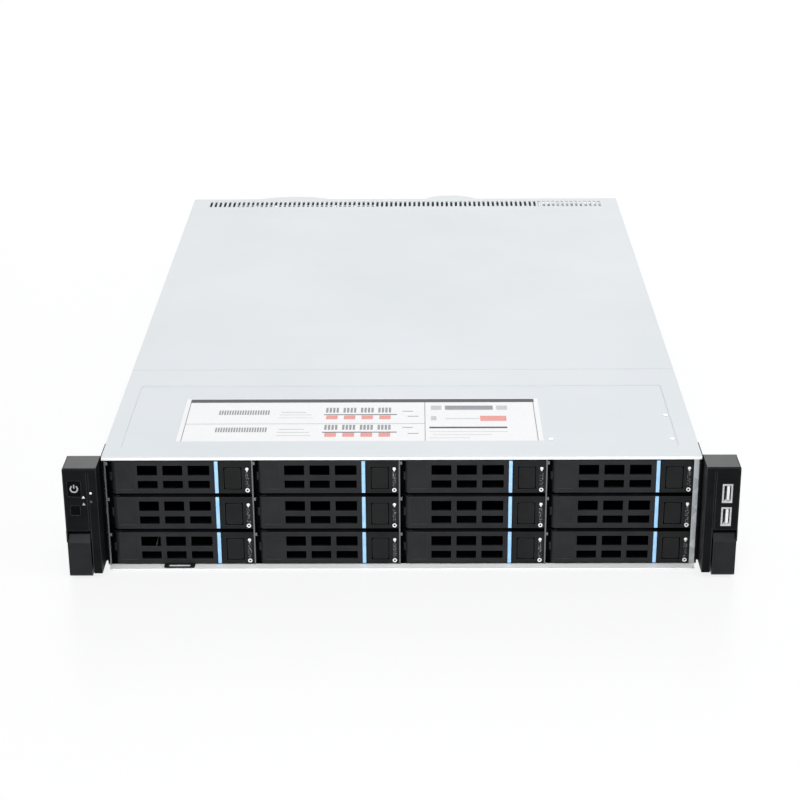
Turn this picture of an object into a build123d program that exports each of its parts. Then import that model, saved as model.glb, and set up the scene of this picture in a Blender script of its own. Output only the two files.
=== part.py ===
from build123d import *

import math
import os

os.makedirs("parts", exist_ok=True)

# A two-unit rack chassis for twelve drives. Millimetres. X to the right, Y to the back, Z up.
# The origin is on the underside, midway between the sides, in the plane of the rack posts.

# Rack standard
rack_unit = 44.45
rack_units = 2
rack_play = 1.4  # height that the body gives up to its neighbours
rack_span = 482.6  # over both ears
screw_inset = 8.75  # of the rack screws from the ears' outer edges
screw_rise = 22.225  # middle hole of the lowest rack unit

# Body, all in bent sheet
ear_reach = 25.3  # of each ear past the body's side
body_width = rack_span - 2 * ear_reach
body_height = rack_units * rack_unit - rack_play
body_back = 645.0
front_plane = -5.0
sheet = 1.2
bend_radius = 1.6
wall_flange = 9.0
lip_reach = 8.0  # floor standing out in front of the carriers
seam_gap = 0.5

half_width = body_width / 2
few_sides = 8

wall_top = body_height - sheet
wall_front = front_plane + sheet
wall_inside = half_width - sheet
rear_inside = body_back - sheet

# Drive bays: as many columns and rows as fit
row_names = ("bottom", "middle", "top")
bay_pitch_x = 106.2
bay_pitch_z = 28.4
cage_sheet = 1.0
cage_play = 0.5  # between the cage and the side wall
slide_play = 0.4  # each side of a carrier
rest_play = 0.15  # under a carrier
cage_rest = 0.1  # under the tray's flanges
carrier_height = 26.8
bezel_height = 25.2
drive_front = 13.0
drive_length = 147.0
plug_space = 5.0  # behind the drives, up to the back of the cage
seam_from_cage = 1.0

cage_back = drive_front + drive_length + plug_space
cover_seam = cage_back + seam_from_cage
cage_top = wall_top - sheet - cage_rest
columns = int((2 * (wall_inside - cage_play) - cage_sheet) / bay_pitch_x)
rows = int((cage_top - sheet - rest_play + bay_pitch_z - carrier_height) / bay_pitch_z)
cage_left = -wall_inside + cage_play
first_plate = cage_left + cage_sheet / 2
bay_left = [first_plate + bay_pitch_x * i for i in range(columns + 1)]
bay_x = [x + bay_pitch_x / 2 for x in bay_left[:columns]]
bay_z = [sheet + rest_play + carrier_height / 2 + bay_pitch_z * i for i in range(rows)]
carrier_width = bay_pitch_x - cage_sheet - 2 * slide_play
carrier_side = carrier_width / 2
carrier_low = -carrier_height / 2

# Power supply bay
psu_width = 73.5
psu_height = 39.5
psu_length = 185.0
psu_side_play = 2.5
psu_rest = 0.3
psu_head_play = 1.6
bay_lead = 20.0  # of the partition past the front of the power supplies
bay_shelf = sheet + psu_rest + psu_height + psu_head_play
bay_depth = psu_length + bay_lead
psu_wall = wall_inside - psu_width - 2 * psu_side_play  # right face of the partition
psu_x = wall_inside - psu_side_play - psu_width / 2
psu_floors = [sheet + psu_rest, bay_shelf + sheet + psu_rest]

# Motherboard on stand-offs, with the holes of the common full-size board
boss_height = 6.35
boss_radius = 3.0
boss_bore = 1.5
boss_sides = 6
board_edge_gap = 1.0
board_side_gap = 3.0
hole_from_side = 16.51
hole_steps_x = (0.0, 124.46, 281.94)
hole_steps_y = (10.16, 165.1, 237.49)
corner_step_y = 33.02  # the first column's first hole is set in from the row
board_side = psu_wall - sheet - board_side_gap
board_back = rear_inside - board_edge_gap
hole_columns = [board_side - hole_from_side - step for step in hole_steps_x]
hole_rows = [board_back - step for step in hole_steps_y]
boss_places = [(x, y) for x in hole_columns for y in hole_rows[1:]]
boss_places += [(x, hole_rows[0]) for x in hole_columns[1:]]
boss_places.append((hole_columns[0], board_back - corner_step_y))
boss_places = [(x, y) for x, y in boss_places if x > 2 * boss_radius - wall_inside]


# A plane that faces the front at depth y: a sketch on it is seen as in the photograph
def facing_front(y):
    return Plane.XZ.offset(-y)


# A small round with few sides: its corners touch the radius, or its sides do in a hole
def small_round(radius, hole=False, mode=Mode.ADD):
    RegularPolygon(radius, few_sides, major_radius=not hole, mode=mode)


# Chassis tray: floor, side walls, power supply partition and shelf, welded together, and board bosses

lip_inset = 2.0
lip_corner = 2.0
hook_length = 12.0
hook_thick = 1.2
hook_foot = 4.2
hook_travel = 20.0
hook_play = 0.4
hook_inset = 0.6  # of the hooks from the middle of the flange
hook_x = half_width - wall_flange / 2 - hook_inset
hook_from_seam = 96.0
hook_from_back = (225.0, 69.0)
hook_y = [cover_seam + hook_from_seam] + [body_back - step for step in hook_from_back]
rail_hole = 2.0
rail_hole_z = rack_unit - rack_play / 2
rail_hole_front = 100.0
rail_hole_back = 85.0  # from the back
rail_hole_y = [rail_hole_front, body_back - rail_hole_back]
tag_width = 41.0
tag_thick = 0.7
tag_shift = -2.3  # from the middle of the first column
tag_x = bay_x[0] + tag_shift
tag_length = 65.0
tag_play = 0.2
guide_width = 1.0
guide_setback = 10.0
slot_wide = hook_foot + 2 * hook_play
slot_long = hook_length + 2 * hook_play

# floor, with its front lip, which the carriers stand behind
with BuildPart() as tray_floor:
    with BuildSketch(Plane.XY):
        with Locations((0, wall_front)):
            Rectangle(2 * (half_width - bend_radius), body_back - wall_front, align=(Align.CENTER, Align.MIN))
    extrude(amount=sheet)
    with BuildSketch(Plane.XY):
        with Locations((0, wall_front)):
            lip = Rectangle(body_width - 2 * lip_inset, lip_reach, align=(Align.CENTER, Align.MAX))
        fillet(lip.vertices().group_by(Axis.Y)[0], lip_corner)
    extrude(amount=sheet)

# side walls, bent to meet the floor and bent in at the top, with the keyhole slots
# that hold the rear cover's hooks and the screw holes of the slide rails
with BuildPart() as tray_sides:
    with BuildSketch(facing_front(wall_front)):
        with BuildLine():
            FilletPolyline(
                (-half_width + wall_flange, wall_top),
                (-half_width, wall_top),
                (-half_width, 0),
                (half_width, 0),
                (half_width, wall_top),
                (half_width - wall_flange, wall_top),
                radius=bend_radius,
            )
            offset(amount=sheet, side=Side.LEFT)
        make_face()
        Rectangle(2 * (half_width - bend_radius), 2 * sheet, mode=Mode.SUBTRACT)
    extrude(amount=-(body_back - wall_front))
    with BuildSketch(Plane.XY.offset(wall_top - sheet)):
        for side in (-1, 1):
            for y in hook_y:
                with Locations((side * hook_x, y - hook_play)):
                    Rectangle(
                        hook_thick + 2 * hook_play, hook_travel + hook_length, align=(Align.CENTER, Align.MIN)
                    )
                with Locations((side * hook_x, y + hook_travel - hook_play)):
                    Rectangle(slot_wide, slot_long, align=(Align.CENTER, Align.MIN))
    extrude(amount=sheet, mode=Mode.SUBTRACT)
    for side in (-1, 1):
        with BuildSketch(Plane.YZ.offset(side * half_width)):
            with Locations(*[(y, rail_hole_z) for y in rail_hole_y]):
                Circle(rail_hole)
        extrude(amount=-side * sheet, mode=Mode.SUBTRACT)

# partition beside the power supplies, and the shelf between them
with BuildPart() as tray_partition:
    with BuildSketch(facing_front(rear_inside)):
        with Locations((psu_wall, sheet)):
            Rectangle(sheet, wall_top - 2 * sheet, align=(Align.MAX, Align.MIN))
    extrude(amount=bay_depth)

with BuildPart() as tray_shelf:
    with BuildSketch(facing_front(rear_inside)):
        with Locations((psu_wall, bay_shelf)):
            Rectangle(wall_inside - psu_wall, sheet, align=(Align.MIN, Align.MIN))
    extrude(amount=bay_depth)

# threaded bosses under the motherboard, and the guides of the information tag
with BuildPart() as tray_bosses:
    with BuildSketch(Plane.XY.offset(sheet)):
        with Locations(*boss_places):
            RegularPolygon(boss_radius, boss_sides, major_radius=False)
            Circle(boss_bore, mode=Mode.SUBTRACT)
    extrude(amount=boss_height)
    with BuildSketch(Plane.XY.offset(sheet)):
        with Locations((tag_x, front_plane + guide_setback)):
            with GridLocations(tag_width + 2 * tag_play + guide_width, 0, 2, 1):
                Rectangle(guide_width, tag_length, align=(Align.CENTER, Align.MIN))
    extrude(amount=tag_thick)

chassis_tray = Compound(
    label="chassis_tray",
    children=[
        tray_floor.part, tray_sides.part, tray_partition.part, tray_shelf.part, tray_bosses.part,
    ],
)
export_step(chassis_tray, "parts/chassis_tray.step")

# Rear panel: input and output opening, expansion slots and air slots, up to the power supply bay

io_width = 158.75
io_height = 44.45
io_drop = 3.81  # below the board's top
board_thick = 1.57
slot_count = 7
slot_pitch = 20.32
slot_width = 13.0
slot_low = 12.0
slot_high = 74.0
bracket_width = 18.4
bracket_thick = 1.0
bracket_low = 7.5
shelf_z = 79.8
shelf_reach = 9.0
tab_play = 0.3
vent_width = 3.0
vent_pitch = 7.0
vent_count = 21
vent_low = 56.0
vent_high = 80.0
slot_from_ports = 15.0
port_shift = 0.5
slot_x = [board_side - io_width - slot_from_ports - slot_pitch * i for i in range(slot_count)]
slot_x = [x for x in slot_x if x > bracket_width - wall_inside]
slot_middle = (slot_x[0] + slot_x[-1]) / 2
slot_span = slot_x[0] - slot_x[-1] + bracket_width
io_x = board_side - io_width / 2 + port_shift
io_low = sheet + boss_height + board_thick - io_drop

with BuildPart() as rear_panel:
    with BuildSketch(facing_front(body_back)):
        with BuildLine():
            Polyline(
                (-wall_inside, sheet + bend_radius),
                (-wall_inside + bend_radius, sheet),
                (psu_wall, sheet),
                (psu_wall, wall_top - sheet),
                (-wall_inside + bend_radius, wall_top - sheet),
                (-wall_inside, wall_top - sheet - bend_radius),
                close=True,
            )
        make_face()
        with Locations((io_x, io_low)):
            Rectangle(io_width, io_height, align=(Align.CENTER, Align.MIN), mode=Mode.SUBTRACT)
        with Locations(*[(x, slot_low) for x in slot_x]):
            Rectangle(slot_width, slot_high - slot_low, align=(Align.CENTER, Align.MIN), mode=Mode.SUBTRACT)
        with Locations((slot_middle, shelf_z)):
            Rectangle(
                slot_span + 2 * tab_play, bracket_thick + tab_play, align=(Align.CENTER, Align.MIN),
                mode=Mode.SUBTRACT,
            )
        with Locations((io_x, (vent_low + vent_high) / 2)):
            with GridLocations(vent_pitch, 0, vent_count, 1):
                Rectangle(vent_width, vent_high - vent_low, mode=Mode.SUBTRACT)
    extrude(amount=sheet)
    # shelf that the slot covers' tabs are screwed to
    with BuildSketch(Plane.XY.offset(shelf_z)):
        with Locations((slot_middle, body_back)):
            Rectangle(slot_span, shelf_reach, align=(Align.CENTER, Align.MIN))
    extrude(amount=-sheet)

rear_panel.part.label = "rear_panel"
export_step(rear_panel.part, "parts/rear_panel.step")

# Expansion slot covers: seven plates, each with its tab bent back over the shelf

with BuildPart() as slot_covers:
    for x in slot_x:
        with BuildSketch(Plane.YZ.offset(x)):
            with BuildLine():
                Polyline(
                    (rear_inside, bracket_low),
                    (rear_inside, shelf_z),
                    (body_back + shelf_reach, shelf_z),
                    (body_back + shelf_reach, shelf_z + bracket_thick),
                    (rear_inside - bracket_thick, shelf_z + bracket_thick),
                    (rear_inside - bracket_thick, bracket_low),
                    close=True,
                )
            make_face()
        extrude(amount=bracket_width / 2, both=True)

slot_covers.part.label = "slot_covers"
export_step(slot_covers.part, "parts/slot_covers.step")

# Drive cage: upright plates between the columns, runners under the upper rows, catches for the levers
# and a rear plate with windows

window_width = 92.0
window_height = 20.0
runner_width = 4.5
runner_front = 14.0
catch_reach = 1.5
catch_low = 9.6
catch_high = 12.0
catch_setback = 0.4
catch_slot = 8.0
hook_slot_front = -3.6
hook_slot_depth = 4.0
right_flange = half_width - sheet - cage_play
plate_back = cage_back - cage_sheet

with BuildPart() as cage_plates:
    with BuildSketch(Plane.XY.offset(sheet)):
        for x in bay_left:
            with Locations((x, front_plane)):
                Rectangle(cage_sheet, plate_back - front_plane, align=(Align.CENTER, Align.MIN))
        # the flange that closes the gap at the right side wall
        with Locations((bay_left[-1], front_plane)):
            Rectangle(right_flange - bay_left[-1], cage_sheet, align=(Align.MIN, Align.MIN))
    extrude(amount=cage_top - sheet)
    # slots beside each lever's hinge that its hook reaches for
    for x in bay_left[:-1]:
        with BuildSketch(Plane.YZ.offset(x)):
            for z in bay_z:
                with Locations((hook_slot_front, z)):
                    Rectangle(hook_slot_depth, catch_slot, align=(Align.MIN, Align.CENTER))
        extrude(amount=cage_sheet / 2, both=True, mode=Mode.SUBTRACT)

# rear plate, with a window for each drive's connector and its air
with BuildPart() as cage_rear:
    with BuildSketch(facing_front(cage_back)):
        with Locations((cage_left, sheet)):
            Rectangle(bay_left[-1] - cage_left, cage_top - sheet, align=(Align.MIN, Align.MIN))
        with Locations(*[(x, z) for x in bay_x for z in bay_z]):
            Rectangle(window_width, window_height, mode=Mode.SUBTRACT)
    extrude(amount=cage_sheet)

# runners that the upper two rows of carriers slide on, riveted to the plates
with BuildPart() as cage_runners:
    for z in bay_z[1:]:
        with BuildSketch(Plane.XY.offset(z + carrier_low - rest_play - cage_sheet)):
            with Locations(*[(x + cage_sheet / 2, runner_front) for x in bay_left[:-1]]):
                Rectangle(runner_width, plate_back - runner_front, align=(Align.MIN, Align.MIN))
            with Locations(*[(x - cage_sheet / 2, runner_front) for x in bay_left[1:]]):
                Rectangle(runner_width, plate_back - runner_front, align=(Align.MAX, Align.MIN))
        extrude(amount=cage_sheet)

# catches beside the levers' hinges, riveted to the plates
with BuildPart() as cage_catches:
    with BuildSketch(facing_front(front_plane + catch_setback)):
        with Locations(*[(x + cage_sheet / 2, z + catch_low) for x in bay_left[:-1] for z in bay_z]):
            Rectangle(catch_reach, catch_high - catch_low, align=(Align.MIN, Align.MIN))
    extrude(amount=-cage_sheet)

drive_cage = Compound(
    label="drive_cage",
    children=[cage_plates.part, cage_rear.part, cage_runners.part, cage_catches.part],
)
export_step(drive_cage, "parts/drive_cage.step")

# Drive carrier: a moulded front module with the button well and the lever's hinge pin, and two steel
# rails that the drive is screwed between. Its own X starts at the bay's middle, its Z at the row's middle.

rail_thick = 1.3
rail_height = 22.0
rail_front = 3.0
module_back = 12.0
beam_height = 1.7
web_thick = 1.3
hinge_x = -45.5
nose_radius = 3.4
hinge_y = front_plane + nose_radius
pin_radius = 1.0
pin_play = 0.1
lug_thick = 0.6
lug_radius = 2.4
lever_end = 28.9
lever_play = 0.4
button_x = 38.95
button_z = -0.9
button_width = 11.7
button_height = 16.2
button_gap = 0.7
button_corner = 0.8
button_depth = 9.0
well_floor = 2.0
pipe_x = 49.4
pipe_z = (6.5, -10.3)
pipe_radius = 1.2
pipe_depth = 3.0
post_width = 3.0
post_back = 8.0
button_travel = 1.5
catch_front = 1.6
catch_thick = 2.0
catch_tall = 5.0
catch_gap = 0.3
catch_reach_x = 2.4
drive_screw_y = (30.9, 132.5)
drive_screw_rise = 7.2
drive_screw_bore = 1.8

drive_screw_z = carrier_low + drive_screw_rise
rail_back = drive_front + drive_length
web_side = carrier_side - rail_thick
bezel_half = bezel_height / 2
well_width = button_width + 2 * button_gap
well_height = button_height + 2 * button_gap
block_left = lever_end + lever_play

with BuildPart() as carrier_module:
    # ring of beams behind the lever, open for the cooling air
    with BuildSketch(facing_front(module_back)):
        Rectangle(2 * web_side, bezel_height)
        with Locations((web_thick - web_side, 0)):
            Rectangle(
                web_side + block_left - web_thick, bezel_height - 2 * beam_height,
                align=(Align.MIN, Align.CENTER), mode=Mode.SUBTRACT,
            )
    extrude(amount=module_back - rail_front)
    # solid block at its right, which covers the rail's end
    with BuildSketch(facing_front(rail_front)):
        with Locations((block_left, 0)):
            Rectangle(carrier_side - block_left, bezel_height, align=(Align.MIN, Align.CENTER))
    extrude(amount=rail_front - front_plane)
    # lugs over and under the lever's nose, each on the post beside the left rail
    for low in (carrier_low, -carrier_low - lug_thick):
        with BuildSketch(Plane.XY.offset(low)):
            with Locations((hinge_x, hinge_y)):
                small_round(lug_radius)
            with Locations((-web_side, hinge_y)):
                Rectangle(web_side + hinge_x, post_back - hinge_y, align=(Align.MIN, Align.MIN))
            with Locations((hinge_x, hinge_y)):
                Rectangle(lug_radius, post_back - hinge_y, align=(Align.MIN, Align.MIN))
        extrude(amount=lug_thick)
    with BuildSketch(Plane.XY.offset(carrier_low)):
        with Locations((-web_side, rail_front)):
            Rectangle(post_width, post_back - rail_front, align=(Align.MIN, Align.MIN))
    extrude(amount=carrier_height)
    # hinge pin
    with BuildSketch(Plane.XY.offset(carrier_low)):
        with Locations((hinge_x, hinge_y)):
            small_round(pin_radius)
    extrude(amount=carrier_height)
    # well of the release button, open at the back for its spring, and its mouth
    with BuildSketch(facing_front(front_plane)):
        with Locations((button_x, button_z)):
            Rectangle(well_width, well_height)
    extrude(amount=-(module_back - front_plane - well_floor), mode=Mode.SUBTRACT)
    # passage for the button's catch, towards the lever's end
    with BuildSketch(facing_front(catch_front - catch_gap)):
        with Locations((block_left, button_z)):
            Rectangle(
                button_x - block_left, catch_tall + 2 * catch_gap, align=(Align.MIN, Align.CENTER)
            )
    extrude(amount=-(catch_thick + button_travel + 2 * catch_gap), mode=Mode.SUBTRACT)
    # holes of the two light pipes
    with BuildSketch(facing_front(front_plane)):
        with Locations(*[(pipe_x, z) for z in pipe_z]):
            small_round(pipe_radius, hole=True)
    extrude(amount=-pipe_depth, mode=Mode.SUBTRACT)

with BuildPart() as carrier_rails:
    with BuildSketch(Plane.XY.offset(carrier_low)):
        for side in (-1, 1):
            with Locations((side * (carrier_side - rail_thick / 2), rail_front)):
                Rectangle(rail_thick, rail_back - rail_front, align=(Align.CENTER, Align.MIN))
    extrude(amount=rail_height)
    # holes for the drive's side screws
    with BuildSketch(Plane.YZ.offset(-carrier_side)):
        with Locations(*[(y, drive_screw_z) for y in drive_screw_y]):
            small_round(drive_screw_bore, hole=True)
    extrude(amount=carrier_width, mode=Mode.SUBTRACT)

# Latch lever: a rounded nose on the hinge pin, a perforated face plate with folded edges,
# a hook that turns out of the cage's slot, and a groove for the coloured grip strip at its free end

face_thick = 2.0
edge_thick = 1.4
lever_back = 1.0
end_thick = 3.6
lever_half = bezel_half
strip_left = 25.8
strip_width = 2.7
strip_depth = 0.6
panel_left = -45.3
panel_right = -33.4
panel_low = -9.4
panel_high = 10.2
panel_depth = 0.4
window_columns = [(-30.0, -15.5), (-11.7, 2.8), (6.6, 22.3)]
window_rows = [(1.35, 9.35), (-8.95, -2.65)]
hook_reach = 4.9
hook_tall = 6.0
hook_thick_y = 2.4
hook_bevel = 0.8
hook_slant = 0.6
nose_slant = nose_radius * math.sqrt(0.5)

with BuildPart() as lever:
    with BuildSketch(Plane.XY.offset(-lever_half)):
        with BuildLine():
            Polyline(
                (hinge_x, front_plane),
                (lever_end, front_plane),
                (lever_end, lever_back),
                (hinge_x, lever_back),
                (hinge_x - nose_slant, hinge_y + nose_slant),
                (hinge_x - nose_radius, hinge_y),
            )
            ThreePointArc(
                (hinge_x - nose_radius, hinge_y),
                (hinge_x - nose_slant, hinge_y - nose_slant),
                (hinge_x, front_plane),
            )
        make_face()
    extrude(amount=2 * lever_half)
    # hollow of the face plate, open to the back
    with BuildSketch(facing_front(lever_back)):
        with Locations((hinge_x + nose_radius + edge_thick, 0)):
            Rectangle(
                lever_end - end_thick - hinge_x - nose_radius - edge_thick,
                2 * (lever_half - edge_thick),
                align=(Align.MIN, Align.CENTER),
            )
    extrude(amount=lever_back - front_plane - face_thick, mode=Mode.SUBTRACT)
    # windows
    with BuildSketch(facing_front(front_plane)):
        for left, right in window_columns:
            for low, high in window_rows:
                with Locations((left, low)):
                    Rectangle(right - left, high - low, align=(Align.MIN, Align.MIN))
    extrude(amount=-face_thick, mode=Mode.SUBTRACT)
    # plain recessed panel and the groove of the grip strip
    with BuildSketch(facing_front(front_plane)):
        with Locations((panel_left, panel_low)):
            Rectangle(panel_right - panel_left, panel_high - panel_low, align=(Align.MIN, Align.MIN))
    extrude(amount=-panel_depth, mode=Mode.SUBTRACT)
    with BuildSketch(facing_front(front_plane)):
        with Locations((strip_left, 0)):
            Rectangle(strip_width, 2 * lever_half, align=(Align.MIN, Align.CENTER))
    extrude(amount=-strip_depth, mode=Mode.SUBTRACT)
    # hook
    with BuildSketch(Plane.XY.offset(-hook_tall / 2)):
        with BuildLine():
            Polyline(
                (hinge_x, hinge_y - hook_thick_y / 2),
                (hinge_x - hook_reach + hook_bevel, hinge_y - hook_thick_y / 2),
                (hinge_x - hook_reach, hinge_y),
                (hinge_x - hook_reach, hinge_y + hook_thick_y / 2 - hook_slant),
                (hinge_x, hinge_y + hook_thick_y / 2),
                close=True,
            )
        make_face()
    extrude(amount=hook_tall)
    # bore on the hinge pin
    with BuildSketch(Plane.XY.offset(-lever_half)):
        with Locations((hinge_x, hinge_y)):
            small_round(pin_radius + pin_play, hole=True)
    extrude(amount=2 * lever_half, mode=Mode.SUBTRACT)

# Release button: a rounded cap with its stem, and the catch behind the lever's end

with BuildPart() as release_button:
    with BuildSketch(facing_front(front_plane)):
        with Locations((button_x, button_z)):
            cap = Rectangle(button_width, button_height)
        chamfer(cap.vertices(), button_corner)
    extrude(amount=-button_depth)
    with BuildSketch(facing_front(catch_front)):
        with Locations((block_left - catch_reach_x, button_z)):
            Rectangle(
                button_x - block_left + catch_reach_x, catch_tall, align=(Align.MIN, Align.CENTER)
            )
    extrude(amount=-catch_thick)

for row, z in zip(row_names, bay_z):
    for column, x in enumerate(bay_x, start=1):
        place = Pos(x, 0, z)
        carrier = Compound(
            label=f"carrier_{row}_{column}",
            children=[place * carrier_module.part, place * carrier_rails.part],
        )
        export_step(carrier, f"parts/{carrier.label}.step")
        for piece, kind in ((lever, "latch_lever"), (release_button, "release_button")):
            copy = place * piece.part
            copy.label = f"{kind}_{row}_{column}"
            export_step(copy, f"parts/{copy.label}.step")

# Front cover: fixed over the drives, its front edge folded down, with a shallow panel pressed into its top

fold_height = 2.4
fold_radius = 0.8
press_corner = 3.0
press_left = 12.0  # the pressed panel from the cover's edges
press_right = 14.4
press_front = 17.0
press_back = 34.0
press_depth = 0.4
panel_x = (press_left - press_right) / 2
panel_wide = body_width - press_left - press_right
panel_front = front_plane + press_front
panel_back = cover_seam - press_back

with BuildPart() as front_cover:
    with BuildSketch(Plane.YZ.offset(-half_width)):
        with BuildLine():
            FilletPolyline(
                (cover_seam, body_height),
                (front_plane, body_height),
                (front_plane, body_height - fold_height),
                radius=fold_radius,
            )
            offset(amount=sheet, side=Side.LEFT)
        make_face()
    extrude(amount=body_width)
    with BuildSketch(Plane.XY.offset(body_height)):
        with Locations((panel_x, panel_front)):
            pressed = Rectangle(panel_wide, panel_back - panel_front, align=(Align.CENTER, Align.MIN))
        fillet(pressed.vertices(), press_corner)
    extrude(amount=-press_depth, mode=Mode.SUBTRACT)

front_cover.part.label = "front_cover"
export_step(front_cover.part, "parts/front_cover.step")

# Rear cover: slides back off its hooks, with a row of air slots and two lips to pull it by

air_slot_width = 2.3
air_slot_length = 18.0
air_slot_pitch = 4.7
air_slot_side = 16.0  # plain sheet beside the row
air_slot_back = 18.0
air_slot_count = int((body_width - 2 * air_slot_side) / air_slot_pitch)
air_slot_y = body_back - air_slot_back
pull_lips = [(20.0, 72.0, 12.0), (-150.0, -76.0, 9.0)]
foot_thick = 1.1
foot_play = 0.2

with BuildPart() as rear_cover:
    with BuildSketch(Plane.XY.offset(wall_top)):
        with Locations((0, cover_seam + seam_gap)):
            Rectangle(body_width, body_back - cover_seam - seam_gap, align=(Align.CENTER, Align.MIN))
        for left, right, reach in pull_lips:
            with BuildLine():
                ThreePointArc((left, body_back), ((left + right) / 2, body_back + reach), (right, body_back))
                Line((right, body_back), (left, body_back))
            make_face()
        with Locations((0, air_slot_y)):
            with GridLocations(air_slot_pitch, 0, air_slot_count, 1):
                Rectangle(air_slot_width, air_slot_length, mode=Mode.SUBTRACT)
    extrude(amount=sheet)
    for y in hook_y:
        with BuildSketch(facing_front(y)):
            for side in (-1, 1):
                with Locations((side * hook_x, wall_top)):
                    Rectangle(hook_thick, sheet + foot_play + foot_thick, align=(Align.CENTER, Align.MAX))
                with Locations((side * hook_x, wall_top - sheet - foot_play)):
                    Rectangle(hook_foot, foot_thick, align=(Align.CENTER, Align.MAX))
        extrude(amount=-hook_length)

rear_cover.part.label = "rear_cover"
export_step(rear_cover.part, "parts/rear_cover.step")

# Ears: moulded housings in front of the rack posts, each with a strip beside the chassis,
# an upper housing for controls or sockets, and a bay at the foot for the rack screw

ear_front = -24.7
ear_gap = 1.0  # between the ear and the body
strip_wide = 6.6
ear_inner = half_width + ear_gap
ear_split = ear_inner + strip_wide
ear_outer = half_width + ear_reach
ear_foot = 1.6
strip_foot = 4.2
ear_sill = 38.4
ear_wall = 2.0
ear_chamfer = 0.8
ear_shoulder = 1.2
back_wall = 4.0
plate_thick = 2.0
cheek_thick = 1.0  # outer wall beside the flap's top
groove_width = 1.2
groove_depth = 1.5
groove_drop = 3.5
groove_top = body_height - groove_drop
screw_x = ear_outer - screw_inset
screw_z = screw_rise - rack_play / 2
screw_radius = 2.5
screw_neck = 2.0
screw_play = 0.3
knob_radius = 4.0
knob_length = 6.0
thread_start = 0.5
screw_reach = 14.0

flap_top = 34.5
flap_bevel_low = 28.8
flap_bevel = 3.2
flap_play = 0.8
flap_step = 0.4
flap_chamfer = 1.5
flap_pivot = 4.7  # the pin from the front and from the foot
flap_wall = 1.6
flap_front = 2.0
flap_roof = 3.4
flap_face = 3.0  # depth of the wide front, outside the cheek
flap_back = -7.0
cheek_play = 0.4
lug_width = 4.0
pivot_y = ear_front + flap_pivot
pivot_z = ear_foot + flap_pivot
ear_lug_radius = 2.2
flap_pin = 1.0
flap_pin_play = 0.15
neck_top = 8.5
neck_play = 0.6

control_shift = 0.85  # of the buttons from the middle of the ear's hollow
usb_shift = -0.15
power_z = 71.7
power_width = 9.1
power_height = 11.8
reset_z = 54.7
reset_width = 6.3
reset_height = 6.7
power_corner = 1.2
reset_corner = 1.0
control_play = 0.3
usb_z = (67.1, 48.9)
usb_width = 5.7
usb_height = 13.1
usb_lip = 0.8
usb_lip_depth = 0.5
usb_play = 0.1
circuit_thick = 1.6
circuit_front = -8.0
switch_size = 6.0
switch_depth = 3.4

ear_back = -plate_thick
cavity_low = ear_sill + ear_wall
cavity_high = body_height - ear_wall
cavity_middle = (ear_split + ear_outer) / 2
cavity_width = ear_outer - ear_split - 2 * ear_wall
control_x = cavity_middle + control_shift
usb_x = cavity_middle + usb_shift


# A rectangle from x1 to x2 on one side of the chassis, and from z1 to z2
def side_rectangle(side, x1, x2, z1, z2, mode=Mode.ADD):
    with Locations((side * (x1 + x2) / 2, (z1 + z2) / 2)):
        Rectangle(x2 - x1, z2 - z1, mode=mode)


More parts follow.
